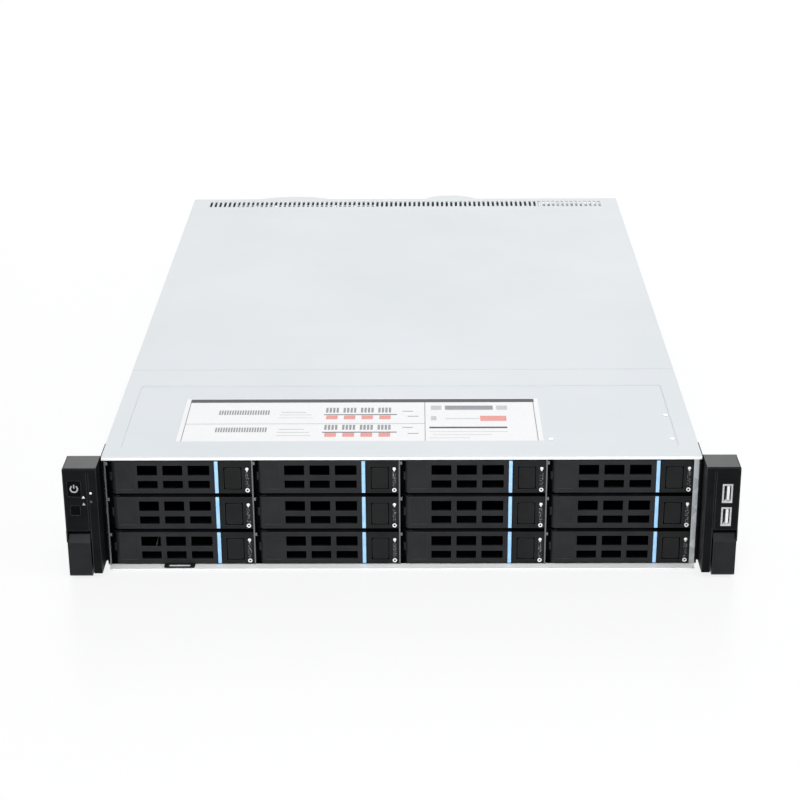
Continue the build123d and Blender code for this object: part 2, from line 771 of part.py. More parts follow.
def make_ear(side):
    with BuildPart() as ear:
        with BuildSketch(facing_front(ear_back)):
            side_rectangle(side, ear_inner, ear_split, strip_foot, body_height)
            side_rectangle(side, ear_split, ear_outer, ear_sill, body_height)
        extrude(amount=ear_back - ear_front)
        with BuildSketch(facing_front(ear_back)):
            side_rectangle(side, cavity_middle - cavity_width / 2, cavity_middle + cavity_width / 2,
                           cavity_low, cavity_high)
        extrude(amount=ear_back - ear_front - ear_wall, mode=Mode.SUBTRACT)
        # softened outer edges
        shoulders = ear.edges().filter_by(Axis.Y).group_by(Axis.Z)[-1]
        chamfer(shoulders.sort_by(Axis.X)[-1 if side > 0 else 0], ear_shoulder)
        front_edges = ear.edges().group_by(Axis.Y)[0]
        top_corner = (side * ear_outer, ear_front, body_height)
        chamfer(front_edges.sort_by_distance(top_corner)[:3], ear_chamfer)
        # wall behind the flap, with the clearance hole of the rack screw
        with BuildSketch(facing_front(ear_back)):
            side_rectangle(side, ear_split, ear_outer, ear_foot, ear_sill)
            with Locations((side * screw_x, screw_z)):
                small_round(screw_neck + screw_play, hole=True, mode=Mode.SUBTRACT)
        extrude(amount=back_wall)
        # cheek beside the flap's top
        with BuildSketch(facing_front(ear_back)):
            side_rectangle(side, ear_outer - cheek_thick, ear_outer, flap_bevel_low + cheek_play, ear_sill)
        extrude(amount=ear_back - ear_front)
        # arm and lug of the flap's hinge
        with BuildSketch(Plane.YZ.offset(side * cavity_middle)):
            with Locations((pivot_y, pivot_z - ear_lug_radius)):
                Rectangle(
                    ear_back - back_wall - pivot_y, neck_top - pivot_z + ear_lug_radius,
                    align=(Align.MIN, Align.MIN),
                )
            with Locations((pivot_y, pivot_z)):
                Circle(ear_lug_radius)
                small_round(flap_pin + flap_pin_play, hole=True, mode=Mode.SUBTRACT)
        extrude(amount=lug_width / 2, both=True)
        # groove down the front
        with BuildSketch(facing_front(ear_front)):
            side_rectangle(side, ear_split - groove_width / 2, ear_split + groove_width / 2,
                           strip_foot, groove_top)
        extrude(amount=-groove_depth, mode=Mode.SUBTRACT)
        # wells through the front wall
        with BuildSketch(facing_front(ear_front)):
            if side < 0:
                with Locations((side * control_x, power_z)):
                    RectangleRounded(
                        power_width + 2 * control_play, power_height + 2 * control_play, power_corner
                    )
                with Locations((side * control_x, reset_z)):
                    RectangleRounded(
                        reset_width + 2 * control_play, reset_height + 2 * control_play, reset_corner
                    )
            else:
                with Locations(*[(usb_x, z) for z in usb_z]):
                    Rectangle(usb_width + 2 * usb_play, usb_height + 2 * usb_play)
        extrude(amount=-ear_wall, mode=Mode.SUBTRACT)
        if side > 0:
            with BuildSketch(facing_front(ear_front)):
                with Locations(*[(usb_x, z) for z in usb_z]):
                    Rectangle(usb_width + 2 * usb_lip + 2 * usb_play, usb_height + 2 * usb_lip + 2 * usb_play)
            extrude(amount=-usb_lip_depth, mode=Mode.SUBTRACT)
    return ear


# Ear flap: a hollow cover over the rack screw, bevelled at its top, on a pin at its foot.
# Its front is wider than its box, so that it is flush with the ear under the cheek.
def make_flap(side):
    inside = ear_split + flap_play
    outside = ear_outer - cheek_thick - cheek_play
    with BuildPart() as flap:
        with BuildSketch(Plane.YZ.offset(side * inside)):
            with BuildLine():
                Polyline(
                    (ear_front + flap_chamfer, ear_foot),
                    (flap_back, ear_foot),
                    (flap_back, flap_top),
                    (ear_front + flap_bevel, flap_top),
                    (ear_front, flap_bevel_low),
                    (ear_front, ear_foot + flap_chamfer),
                    close=True,
                )
            make_face()
        extrude(amount=side * (outside - inside))
        with BuildSketch(Plane.YZ.offset(side * outside)):
            with BuildLine():
                Polyline(
                    (ear_front + flap_chamfer, ear_foot),
                    (ear_front + flap_face, ear_foot),
                    (ear_front + flap_face, flap_bevel_low),
                    (ear_front, flap_bevel_low),
                    (ear_front, ear_foot + flap_chamfer),
                    close=True,
                )
            make_face()
        extrude(amount=side * (ear_outer - flap_step - outside))
        with BuildSketch(facing_front(flap_back)):
            side_rectangle(side, inside + flap_wall, outside - flap_wall,
                           ear_foot + flap_wall, flap_top - flap_roof)
        extrude(amount=flap_back - ear_front - flap_front, mode=Mode.SUBTRACT)
        # notch that the hinge arm passes through
        with BuildSketch(facing_front(flap_back)):
            with Locations((side * cavity_middle, ear_foot)):
                Rectangle(lug_width + 2 * neck_play, flap_pivot, align=(Align.CENTER, Align.MIN))
        extrude(amount=flap_back - ear_front - flap_front, mode=Mode.SUBTRACT)
        with BuildSketch(Plane.YZ.offset(side * (inside + flap_wall))):
            with Locations((pivot_y, pivot_z)):
                Circle(flap_pin)
        extrude(amount=side * (outside - inside - 2 * flap_wall))
    return flap


# circuit board of the buttons, held by the walls of the left ear's hollow, with its two switches
with BuildPart() as control_board:
    with BuildSketch(facing_front(circuit_front)):
        side_rectangle(-1, cavity_middle - cavity_width / 2, cavity_middle + cavity_width / 2,
                       cavity_low, cavity_high)
    extrude(amount=-circuit_thick)
    with BuildSketch(facing_front(circuit_front)):
        with Locations(*[(-control_x, z) for z in (power_z, reset_z)]):
            Rectangle(switch_size, switch_size)
    extrude(amount=switch_depth)

left_ear = make_ear(-1)
left_ear_group = Compound(label="left_ear", children=[left_ear.part, control_board.part])
export_step(left_ear_group, "parts/left_ear.step")

right_ear = make_ear(1)
right_ear.part.label = "right_ear"
export_step(right_ear.part, "parts/right_ear.step")

for name, side in (("left_ear", -1), ("right_ear", 1)):
    flap = make_flap(side)
    flap.part.label = f"{name}_flap"
    export_step(flap.part, f"parts/{name}_flap.step")

# Rack brackets: a steel angle behind each ear, and a captive screw whose neck turns in it

bracket_side = 1.0
bracket_reach = 22.0
bracket_foot = 3.0

with BuildPart() as rack_brackets:
    for side in (-1, 1):
        with BuildSketch(Plane.XY.offset(bracket_foot)):
            with BuildLine():
                Polyline(
                    (side * half_width, ear_back),
                    (side * ear_outer, ear_back),
                    (side * ear_outer, ear_back + plate_thick),
                    (side * (half_width + bracket_side), ear_back + plate_thick),
                    (side * (half_width + bracket_side), bracket_reach),
                    (side * half_width, bracket_reach),
                    close=True,
                )
            make_face()
        extrude(amount=body_height - bracket_side - bracket_foot)
        with BuildSketch(facing_front(ear_back)):
            with Locations((side * screw_x, screw_z)):
                small_round(screw_neck + screw_play, hole=True)
        extrude(amount=-plate_thick, mode=Mode.SUBTRACT)
    for side in (-1, 1):
        with BuildSketch(facing_front(screw_reach)):
            with Locations((side * screw_x, screw_z)):
                Circle(screw_radius)
        extrude(amount=screw_reach - thread_start)
        with BuildSketch(facing_front(thread_start)):
            with Locations((side * screw_x, screw_z)):
                small_round(screw_neck)
        extrude(amount=thread_start - ear_back + back_wall)
        with BuildSketch(facing_front(ear_back - back_wall)):
            with Locations((side * screw_x, screw_z)):
                Circle(knob_radius)
        extrude(amount=knob_length)

rack_brackets.part.label = "rack_brackets"
export_step(rack_brackets.part, "parts/rack_brackets.step")

# Power and reset buttons: caps with a rim behind the ear's front wall and a stem to the switch

control_travel = 1.2
rim_thick = 1.2
rim_extra = 0.9
cap_corner = 0.9
stem_radius = 2.0
rim_front = ear_front + ear_wall + control_play
stem_back = circuit_front - switch_depth - control_travel - control_play

control_sizes = (
    ("power_button", power_z, power_width, power_height),
    ("reset_button", reset_z, reset_width, reset_height),
)
for name, z, width, height in control_sizes:
    with BuildPart() as control:
        with BuildSketch(facing_front(ear_front)):
            with Locations((-control_x, z)):
                RectangleRounded(width, height, cap_corner)
        extrude(amount=-(rim_front - ear_front))
        with BuildSketch(facing_front(rim_front)):
            with Locations((-control_x, z)):
                Rectangle(width + 2 * rim_extra, height + 2 * rim_extra)
        extrude(amount=-rim_thick)
        with BuildSketch(facing_front(rim_front + rim_thick)):
            with Locations((-control_x, z)):
                small_round(stem_radius)
        extrude(amount=-(stem_back - rim_front - rim_thick))
    control.part.label = name
    export_step(control.part, f"parts/{name}.step")

# USB sockets: two upright steel shells with a lip, a tongue and a rear block, on their circuit board

usb_steel = 0.4
usb_block = -13.0
tongue_thick = 1.84
tongue_height = 11.0
tongue_offset = 0.75
tongue_front = 1.0

with BuildPart() as usb_shells:
    for z in usb_z:
        with BuildSketch(facing_front(ear_front)):
            with Locations((usb_x, z)):
                Rectangle(usb_width, usb_height)
                Rectangle(usb_width - 2 * usb_steel, usb_height - 2 * usb_steel, mode=Mode.SUBTRACT)
        extrude(amount=-(usb_block - ear_front))
        with BuildSketch(facing_front(ear_front)):
            with Locations((usb_x, z)):
                Rectangle(usb_width + 2 * usb_lip, usb_height + 2 * usb_lip)
                Rectangle(usb_width - 2 * usb_steel, usb_height - 2 * usb_steel, mode=Mode.SUBTRACT)
        extrude(amount=-usb_steel)

with BuildPart() as usb_inserts:
    with BuildSketch(facing_front(usb_block)):
        with Locations(*[(usb_x, z) for z in usb_z]):
            Rectangle(usb_width, usb_height)
    extrude(amount=-(circuit_front - usb_block))
    with BuildSketch(facing_front(ear_front + tongue_front)):
        with Locations(*[(usb_x + tongue_offset, z) for z in usb_z]):
            Rectangle(tongue_thick, tongue_height)
    extrude(amount=-(usb_block - ear_front - tongue_front))

with BuildPart() as usb_board:
    with BuildSketch(facing_front(circuit_front)):
        side_rectangle(1, cavity_middle - cavity_width / 2, cavity_middle + cavity_width / 2,
                       cavity_low, cavity_high)
    extrude(amount=-circuit_thick)

usb_ports = Compound(label="usb_ports", children=[usb_shells.part, usb_inserts.part, usb_board.part])
export_step(usb_ports, "parts/usb_ports.step")

# Information tag: a thin plate that pulls out from under the first column, with a loop for the finger

loop_width = 22.5
loop_reach = 7.0
loop_slot_width = 15.8
loop_slot_depth = 3.3
loop_slot_corner = 1.0
loop_corner = 2.0
tag_rest = 0.05
tag_setback = 1.0  # of its plate from the front plane
tag_front = front_plane + tag_setback

with BuildPart() as info_tag:
    with BuildSketch(Plane.XY.offset(sheet + tag_rest)):
        with Locations((tag_x, tag_front)):
            Rectangle(tag_width, tag_length, align=(Align.CENTER, Align.MIN))
            Rectangle(loop_width, loop_reach, align=(Align.CENTER, Align.MAX))
        with Locations((tag_x, tag_front - loop_reach / 2)):
            RectangleRounded(loop_slot_width, loop_slot_depth, loop_slot_corner, mode=Mode.SUBTRACT)
    extrude(amount=tag_thick)
    front_corners = info_tag.edges().filter_by(Axis.Z).group_by(Axis.Y)[0]
    fillet(front_corners, loop_corner)

info_tag.part.label = "info_tag"
export_step(info_tag.part, "parts/info_tag.step")

# Backplane: the board behind the cage, with a connector for each drive and the cable headers behind it

plane_thick = 2.0
plane_margin = 2.0
connector_width = 42.0
connector_height = 6.0
connector_reach = 4.6
connector_rise = 6.8
vent_slot_width = 60.0
vent_slot_height = 7.0
vent_slot_z = 2.5
header_depth = 11.0
header_middle = -20.0
power_header_size = (30.0, 12.0)
power_header_pitch = 130.0
power_header_count = 3
power_header_z = 30.0
signal_header_size = (24.0, 10.0)
signal_header_pitch = 150.0
signal_header_count = 2
signal_header_z = 58.0

with BuildPart() as backplane_board:
    with BuildSketch(facing_front(cage_back)):
        with Locations((cage_left + plane_margin, sheet + plane_margin)):
            Rectangle(
                bay_left[-1] - cage_left - 2 * plane_margin, cage_top - sheet - 2 * plane_margin,
                align=(Align.MIN, Align.MIN),
            )
        with Locations(*[(x, z + vent_slot_z) for x in bay_x for z in bay_z]):
            Rectangle(vent_slot_width, vent_slot_height, mode=Mode.SUBTRACT)
    extrude(amount=-plane_thick)

with BuildPart() as drive_connectors:
    with BuildSketch(facing_front(cage_back)):
        with Locations(*[(x, z + carrier_low + connector_rise) for x in bay_x for z in bay_z]):
            Rectangle(connector_width, connector_height)
    extrude(amount=connector_reach)

with BuildPart() as cable_headers:
    with BuildSketch(facing_front(cage_back + plane_thick)):
        with Locations((header_middle, power_header_z)):
            with GridLocations(power_header_pitch, 0, power_header_count, 1):
                Rectangle(*power_header_size)
        with Locations((header_middle, signal_header_z)):
            with GridLocations(signal_header_pitch, 0, signal_header_count, 1):
                Rectangle(*signal_header_size)
    extrude(amount=-header_depth)

backplane = Compound(
    label="backplane", children=[backplane_board.part, drive_connectors.part, cable_headers.part]
)
export_step(backplane, "parts/backplane.step")

# Fan wall: a bent sheet with three square openings, and a fan frame behind each

fan_count = 3
fan_margin = 6.0
fan_from_cage = 39.0
fan_pitch = (body_width - 2 * fan_margin) / fan_count
fan_x = [fan_pitch * (i - (fan_count - 1) / 2) for i in range(fan_count)]
fan_size = 80.0
fan_depth = 38.0
fan_bore = 38.2
fan_wall_y = cage_back + fan_from_cage
fan_rest = 0.2
base_radius = 17.0
base_thick = 3.0
strut_width = 4.0
strut_root = 0.5  # of each strut inside the frame
post_radius = 3.0
post_length = 20.0
fan_front = fan_wall_y + sheet
fan_back = fan_front + fan_depth
fan_z = sheet * 2 + fan_rest + fan_size / 2

with BuildPart() as fan_sheet:
    with BuildSketch(Plane.YZ.offset(-wall_inside + cage_play)):
        with BuildLine():
            Polyline(
                (fan_back, sheet),
                (fan_wall_y, sheet),
                (fan_wall_y, cage_top),
                (fan_back, cage_top),
                (fan_back, cage_top - sheet),
                (fan_front, cage_top - sheet),
                (fan_front, 2 * sheet),
                (fan_back, 2 * sheet),
                close=True,
            )
        make_face()
    extrude(amount=2 * (wall_inside - cage_play))
    with BuildSketch(facing_front(fan_wall_y)):
        with Locations(*[(x, fan_z) for x in fan_x]):
            Rectangle(2 * fan_bore, 2 * fan_bore)
    extrude(amount=-sheet, mode=Mode.SUBTRACT)

with BuildPart() as fan_frames:
    with BuildSketch(facing_front(fan_front)):
        with Locations(*[(x, fan_z) for x in fan_x]):
            Rectangle(fan_size, fan_size)
            Circle(fan_bore, mode=Mode.SUBTRACT)
    extrude(amount=-fan_depth)
    # motor bases on four struts, and their bearing posts
    with BuildSketch(facing_front(fan_back)):
        for x in fan_x:
            with Locations((x, fan_z)):
                Circle(base_radius)
            with Locations(Location((x, fan_z), 45), Location((x, fan_z), -45)):
                Rectangle(2 * (fan_bore + strut_root), strut_width)
    extrude(amount=base_thick)
    with BuildSketch(facing_front(fan_back - base_thick)):
        with Locations(*[(x, fan_z) for x in fan_x]):
            small_round(post_radius)
    extrude(amount=post_length)

fan_wall = Compound(label="fan_wall", children=[fan_sheet.part, fan_frames.part])
export_step(fan_wall, "parts/fan_wall.step")

# Fan rotor: a cup on the bearing post, with five pitched blades that widen to their tips

hub_radius = 17.5
blade_root = 3.5  # of each blade inside the hub
blade_tip = 35.5
blade_count = 5
blade_pitch = 38.0
blade_root_chord = 20.0
blade_tip_chord = 28.0
blade_thick = 1.6
rotor_gap = 0.3
rotor_lead = 3.0
shaft_play = 0.1
rotor_back = fan_back - base_thick - rotor_gap
rotor_front = fan_back - base_thick - post_length - rotor_lead
blade_y = (rotor_front + rotor_back) / 2

with BuildPart() as fan_rotor:
    with BuildSketch(facing_front(rotor_back)):
        Circle(hub_radius)
    extrude(amount=rotor_back - rotor_front)
    for i in range(blade_count):
        turn = 360 / blade_count * i
        outwards = Vector(1, 0, 0).rotate(Axis.Y, turn)
        facing = Vector(0, 1, 0).rotate(Axis((0, 0, 0), outwards), blade_pitch)
        with BuildSketch(Plane(origin=(0, blade_y, 0), x_dir=outwards, z_dir=facing)):
            with BuildLine():
                Polyline(
                    (hub_radius - blade_root, -blade_root_chord / 2),
                    (blade_tip, -blade_tip_chord / 2),
                    (blade_tip, blade_tip_chord / 2),
                    (hub_radius - blade_root, blade_root_chord / 2),
                    close=True,
                )
            make_face()
        extrude(amount=blade_thick / 2, both=True)
    with BuildSketch(facing_front(rotor_back)):
        small_round(post_radius + shaft_play, hole=True)
    extrude(amount=post_length, mode=Mode.SUBTRACT)

for number, x in enumerate(fan_x, start=1):
    copy = Pos(x, 0, fan_z) * fan_rotor.part
    copy.label = f"fan_rotor_{number}"
    export_step(copy, f"parts/{copy.label}.step")

# Power supply module: a sheet box with an air hole, an inlet, a handle and a slot for its latch

psu_sheet = 1.2
inlet_from_side = 17.75
inlet_x = inlet_from_side - psu_width / 2
inlet_z = 13.5
inlet_width = 27.0
inlet_height = 19.6
inlet_wall = 1.6
inlet_depth = 16.0
inlet_corner = 3.0
exhaust_from_side = 25.25
exhaust_x = psu_width / 2 - exhaust_from_side
exhaust_radius = 14.5
exhaust_bar = 2.0
handle_x = -2.6
handle_low = 6.0
handle_high = 34.0
handle_reach = 22.0
handle_thick = 3.0
handle_bend = 5.0
card_width = 50.0
card_reach = 10.0
card_length = 90.0
latch_from_side = 3.75
latch_x = psu_width / 2 - latch_from_side
latch_thick = 1.6
latch_low = 12.0
latch_high = 26.0
latch_play = 0.4
latch_swing = 4.2
latch_reach = 12.0
latch_setback = 20.0
latch_pivot_y = body_back - latch_setback
latch_pin = 1.2
latch_boss = 2.4
latch_lip = 4.0
latch_bore_play = 0.15
lug_out = 3.2
psu_back = body_back
psu_front = psu_back - psu_length

with BuildPart() as psu:
    with BuildSketch(facing_front(psu_back)):
        with Locations((0, psu_height / 2)):
            Rectangle(psu_width, psu_height)
    extrude(amount=psu_length)
    with BuildSketch(facing_front(psu_back - psu_sheet)):
        with Locations((0, psu_height / 2)):
            Rectangle(psu_width - 2 * psu_sheet, psu_height - 2 * psu_sheet)
    extrude(amount=psu_length - psu_sheet, mode=Mode.SUBTRACT)
    # air hole with two crossed guard bars
    with BuildSketch(facing_front(psu_back)):
        with Locations((exhaust_x, psu_height / 2)):
            Circle(exhaust_radius)
            Rectangle(2 * exhaust_radius, exhaust_bar, mode=Mode.SUBTRACT)
            Rectangle(exhaust_bar, 2 * exhaust_radius, mode=Mode.SUBTRACT)
    extrude(amount=psu_sheet, mode=Mode.SUBTRACT)
    # inlet
    with BuildSketch(facing_front(psu_back)):
        with Locations((inlet_x, inlet_z)):
            Rectangle(inlet_width, inlet_height)
    extrude(amount=inlet_depth + inlet_wall)
    with BuildSketch(facing_front(psu_back)):
        with Locations((inlet_x, inlet_z)):
            mouth = Rectangle(inlet_width - 2 * inlet_wall, inlet_height - 2 * inlet_wall)
        chamfer(mouth.vertices().group_by(Axis.Y)[-1], inlet_corner)
    extrude(amount=inlet_depth, mode=Mode.SUBTRACT)
    # handle
    with BuildSketch(Plane.YZ.offset(handle_x)):
        with BuildLine():
            Polyline(
                (psu_back - psu_sheet, handle_low),
                (psu_back + handle_reach - handle_bend, handle_low),
                (psu_back + handle_reach, handle_low + handle_bend),
                (psu_back + handle_reach, handle_high - handle_bend),
                (psu_back + handle_reach - handle_bend, handle_high),
                (psu_back - psu_sheet, handle_high),
            )
            offset(amount=handle_thick, side=Side.LEFT)
        make_face()
    extrude(amount=handle_thick / 2, both=True)
    # slot and hinge lugs of the latch
    with BuildSketch(facing_front(psu_back)):
        with Locations((latch_x + latch_thick / 2 + latch_play, (latch_low + latch_high) / 2)):
            Rectangle(
                latch_thick + latch_swing + 2 * latch_play, latch_high - latch_low + 2 * latch_play,
                align=(Align.MAX, Align.CENTER),
            )
    extrude(amount=psu_sheet, mode=Mode.SUBTRACT)
    for low in (latch_low - latch_play - lug_width, latch_high + latch_play):
        with BuildSketch(Plane.XY.offset(low)):
            with Locations((latch_x, latch_pivot_y)):
                small_round(lug_out)
                Rectangle(
                    psu_width / 2 - psu_sheet - latch_x, 2 * lug_out, align=(Align.MIN, Align.CENTER)
                )
                small_round(latch_pin + latch_bore_play, hole=True, mode=Mode.SUBTRACT)
        extrude(amount=lug_width)

# Circuit board of the module, with the edge that plugs in standing out at the front
with BuildPart() as psu_board:
    with BuildSketch(Plane.XY.offset(psu_sheet)):
        with Locations((0, psu_front - card_reach)):
            Rectangle(card_width, card_length, align=(Align.CENTER, Align.MIN))
    extrude(amount=circuit_thick)

# Latch of a power supply: a spring tab on an upright pin

with BuildPart() as psu_latch:
    with BuildSketch(Plane.XY.offset(latch_low)):
        with Locations((latch_x, latch_pivot_y)):
            Circle(latch_boss)
        with Locations((latch_x, latch_pivot_y)):
            Rectangle(latch_thick, psu_back + latch_reach - latch_pivot_y, align=(Align.CENTER, Align.MIN))
        with Locations((latch_x + latch_thick / 2, psu_back + latch_reach)):
            Rectangle(latch_lip, latch_thick, align=(Align.MAX, Align.MAX))
    extrude(amount=latch_high - latch_low)
    with BuildSketch(Plane.XY.offset(latch_low - latch_play - lug_width)):
        with Locations((latch_x, latch_pivot_y)):
            Circle(latch_pin)
    extrude(amount=latch_high - latch_low + 2 * latch_play + 2 * lug_width)

for number, floor in enumerate(psu_floors, start=1):
    place = Pos(psu_x, 0, floor)
    module = Compound(label=f"power_supply_{number}", children=[place * psu.part, place * psu_board.part])
    export_step(module, f"parts/{module.label}.step")
    latch = place * psu_latch.part
    latch.label = f"power_supply_latch_{number}"
    export_step(latch, f"parts/{latch.label}.step")
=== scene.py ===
import math

import bmesh
import bpy
from mathutils import Matrix, Vector


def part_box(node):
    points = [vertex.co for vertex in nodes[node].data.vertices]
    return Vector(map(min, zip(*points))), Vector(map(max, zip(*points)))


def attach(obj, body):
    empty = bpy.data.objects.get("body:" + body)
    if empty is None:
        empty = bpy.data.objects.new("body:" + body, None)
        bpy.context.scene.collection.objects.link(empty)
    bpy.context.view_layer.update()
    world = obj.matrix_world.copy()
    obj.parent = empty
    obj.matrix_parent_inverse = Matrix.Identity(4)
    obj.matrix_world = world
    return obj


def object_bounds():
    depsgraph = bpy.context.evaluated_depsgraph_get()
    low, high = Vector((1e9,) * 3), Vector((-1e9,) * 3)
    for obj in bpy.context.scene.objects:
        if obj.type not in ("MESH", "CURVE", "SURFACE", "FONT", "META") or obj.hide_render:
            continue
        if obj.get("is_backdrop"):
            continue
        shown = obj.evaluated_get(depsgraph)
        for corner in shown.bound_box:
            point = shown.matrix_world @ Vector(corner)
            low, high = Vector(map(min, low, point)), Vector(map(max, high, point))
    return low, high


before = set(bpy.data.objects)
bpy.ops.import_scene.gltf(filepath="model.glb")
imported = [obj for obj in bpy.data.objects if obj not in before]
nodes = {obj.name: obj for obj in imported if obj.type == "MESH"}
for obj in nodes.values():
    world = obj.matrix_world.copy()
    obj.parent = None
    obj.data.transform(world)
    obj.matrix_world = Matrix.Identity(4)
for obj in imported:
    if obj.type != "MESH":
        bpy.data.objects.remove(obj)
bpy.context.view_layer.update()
mm = 0.001
print("frame loaded:", len(nodes), "nodes")


# sRGB hex to the linear colour that a shader takes
def linear(code):
    parts = [int(code[i:i + 2], 16) / 255 for i in (1, 3, 5)]
    return [v / 12.92 if v <= 0.04045 else ((v + 0.055) / 1.055) ** 2.4 for v in parts] + [1.0]


# Adds a node: settings are its own properties, its inputs' values, or a ramp's stops
def addNode(tree, kind, settings=None, links=None):
    node = tree.nodes.new(kind)
    for name, value in (settings or {}).items():
        if name == "stops":
            for stop, (position, code) in zip(node.color_ramp.elements, value):
                stop.position = position
                stop.color = linear(code)
        elif isinstance(name, str) and hasattr(node, name):
            setattr(node, name, value)
        else:
            node.inputs[name].default_value = value
    for name, source in (links or {}).items():
        tree.links.new(source, node.inputs[name])
    return node


# An empty material, its node tree and the object's own coordinates
def newMaterial(name):
    material = bpy.data.materials.new(name)
    material.use_nodes = True
    tree = material.node_tree
    tree.nodes.clear()
    return material, tree, addNode(tree, "ShaderNodeTexCoord").outputs["Object"]


paint = {"low": "#d6dce0", "high": "#dde2e6", "cloud": 140.0, "peel": 1.6, "edge": 0.4}


# Powder-coated steel sheet: pale blue-grey, with a fine orange peel that softens every reflection
def powderCoatedSteel(name="powder_coated_steel", low=paint["low"], high=paint["high"], roughness=0.42,
                      level=0.25):
    material, tree, place = newMaterial(name)
    cloud = addNode(tree, "ShaderNodeTexNoise", {"Scale": 1 / (paint["cloud"] * mm), "Detail": 3.0},
                    {"Vector": place})
    tint = addNode(tree, "ShaderNodeValToRGB", {"stops": [(0.3, low), (0.7, high)]},
                   {"Fac": cloud.outputs["Fac"]})
    peel = addNode(tree, "ShaderNodeTexNoise", {"Scale": 1 / (paint["peel"] * mm), "Detail": 2.0},
                   {"Vector": place})
    edge = addNode(tree, "ShaderNodeBevel", {"samples": 4, "Radius": paint["edge"] * mm})
    bump = addNode(tree, "ShaderNodeBump", {"Distance": 0.05 * mm, "Strength": 0.2},
                   {"Height": peel.outputs["Fac"], "Normal": edge.outputs["Normal"]})
    shader = addNode(tree, "ShaderNodeBsdfPrincipled",
                     {"Roughness": roughness, "IOR": 1.5, "Specular IOR Level": level},
                     {"Base Color": tint.outputs["Color"], "Normal": bump.outputs["Normal"]})
    addNode(tree, "ShaderNodeOutputMaterial", links={"Surface": shader.outputs["BSDF"]})
    return material


zinc = {"dark": "#a6aaad", "light": "#c8cccf", "spangle": 7.0, "grit": 0.8}


# Galvanised steel: spangles of slightly different grey, some sharper and some duller in their reflections
def galvanisedSteel():
    material, tree, place = newMaterial("galvanised_steel")
    cells = addNode(tree, "ShaderNodeTexVoronoi", {"Scale": 1 / (zinc["spangle"] * mm)}, {"Vector": place})
    tone = addNode(tree, "ShaderNodeSeparateColor", links={"Color": cells.outputs["Color"]})
    tint = addNode(tree, "ShaderNodeValToRGB", {"stops": [(0.0, zinc["dark"]), (1.0, zinc["light"])]},
                   {"Fac": tone.outputs["Red"]})
    rough = addNode(tree, "ShaderNodeMapRange", {"To Min": 0.32, "To Max": 0.5},
                    {"Value": tone.outputs["Green"]})
    grit = addNode(tree, "ShaderNodeTexNoise", {"Scale": 1 / (zinc["grit"] * mm)}, {"Vector": place})
    edge = addNode(tree, "ShaderNodeBevel", {"samples": 4, "Radius": 0.25 * mm})
    bump = addNode(tree, "ShaderNodeBump", {"Distance": 0.02 * mm, "Strength": 0.3},
                   {"Height": grit.outputs["Fac"], "Normal": edge.outputs["Normal"]})
    shader = addNode(tree, "ShaderNodeBsdfPrincipled", {"Metallic": 0.85},
                     {"Base Color": tint.outputs["Color"], "Roughness": rough.outputs["Result"],
                      "Normal": bump.outputs["Normal"]})
    addNode(tree, "ShaderNodeOutputMaterial", links={"Surface": shader.outputs["BSDF"]})
    return material


# Moulded ABS: near-black with a fine spark-eroded grain, and its edges painted a little lighter as a painted
# highlight
def mouldedAbs(name, low, high, roughness=0.5, level=0.16, edge=0.5, edgeHighlight="#4a4b4d"):
    material, tree, place = newMaterial(name)
    flow = addNode(tree, "ShaderNodeTexNoise", {"Scale": 1 / (12.0 * mm), "Detail": 3.0}, {"Vector": place})
    tint = addNode(tree, "ShaderNodeValToRGB", {"stops": [(0.35, low), (0.65, high)]},
                   {"Fac": flow.outputs["Fac"]})
    soft = addNode(tree, "ShaderNodeBevel", {"samples": 6, "Radius": edge * mm})
    flat = addNode(tree, "ShaderNodeNewGeometry")
    turn = addNode(tree, "ShaderNodeVectorMath", {"operation": "DOT_PRODUCT"},
                   {0: soft.outputs["Normal"], 1: flat.outputs["Normal"]})
    # edge mask from the bevel: these edges get a painted highlight in the base colour
    highlightMask = addNode(tree, "ShaderNodeMapRange",
                   {"From Min": 0.98, "From Max": 0.8, "To Min": 0.0, "To Max": 0.55},
                   {"Value": turn.outputs["Value"]})
    edgeHighlighted = addNode(tree, "ShaderNodeMix", {"data_type": "RGBA", 7: linear(edgeHighlight)},
                   {0: highlightMask.outputs["Result"], 6: tint.outputs["Color"]})
    # the real grain is about 0.1 mm, drawn at 0.7 mm so that it shows
    spark = addNode(tree, "ShaderNodeTexNoise", {"Scale": 1 / (0.7 * mm), "Detail": 3.0}, {"Vector": place})
    bump = addNode(tree, "ShaderNodeBump", {"Distance": 0.06 * mm, "Strength": 0.3},
                   {"Height": spark.outputs["Fac"], "Normal": soft.outputs["Normal"]})
    shader = addNode(tree, "ShaderNodeBsdfPrincipled",
                     {"Roughness": roughness, "IOR": 1.53, "Specular IOR Level": level},
                     {"Base Color": edgeHighlighted.outputs[2], "Normal": bump.outputs["Normal"]})
    addNode(tree, "ShaderNodeOutputMaterial", links={"Surface": shader.outputs["BSDF"]})
    return material


# Smooth moulded plastic: even colour, a clean highlight and faint flow marks
def smoothPlastic(name, low, high, roughness=0.3, coat=0.0, level=0.5):
    material, tree, place = newMaterial(name)
    flow = addNode(tree, "ShaderNodeTexNoise", {"Scale": 1 / (4.0 * mm), "Detail": 4.0}, {"Vector": place})
    tint = addNode(tree, "ShaderNodeValToRGB", {"stops": [(0.35, low), (0.65, high)]},
                   {"Fac": flow.outputs["Fac"]})
    edge = addNode(tree, "ShaderNodeBevel", {"samples": 4, "Radius": 0.2 * mm})
    bump = addNode(tree, "ShaderNodeBump", {"Distance": 0.02 * mm, "Strength": 0.15},
                   {"Height": flow.outputs["Fac"], "Normal": edge.outputs["Normal"]})
    shader = addNode(tree, "ShaderNodeBsdfPrincipled",
                     {"Roughness": roughness, "IOR": 1.5, "Coat Weight": coat, "Specular IOR Level": level},
                     {"Base Color": tint.outputs["Color"], "Normal": bump.outputs["Normal"]})
    addNode(tree, "ShaderNodeOutputMaterial", links={"Surface": shader.outputs["BSDF"]})
    return material


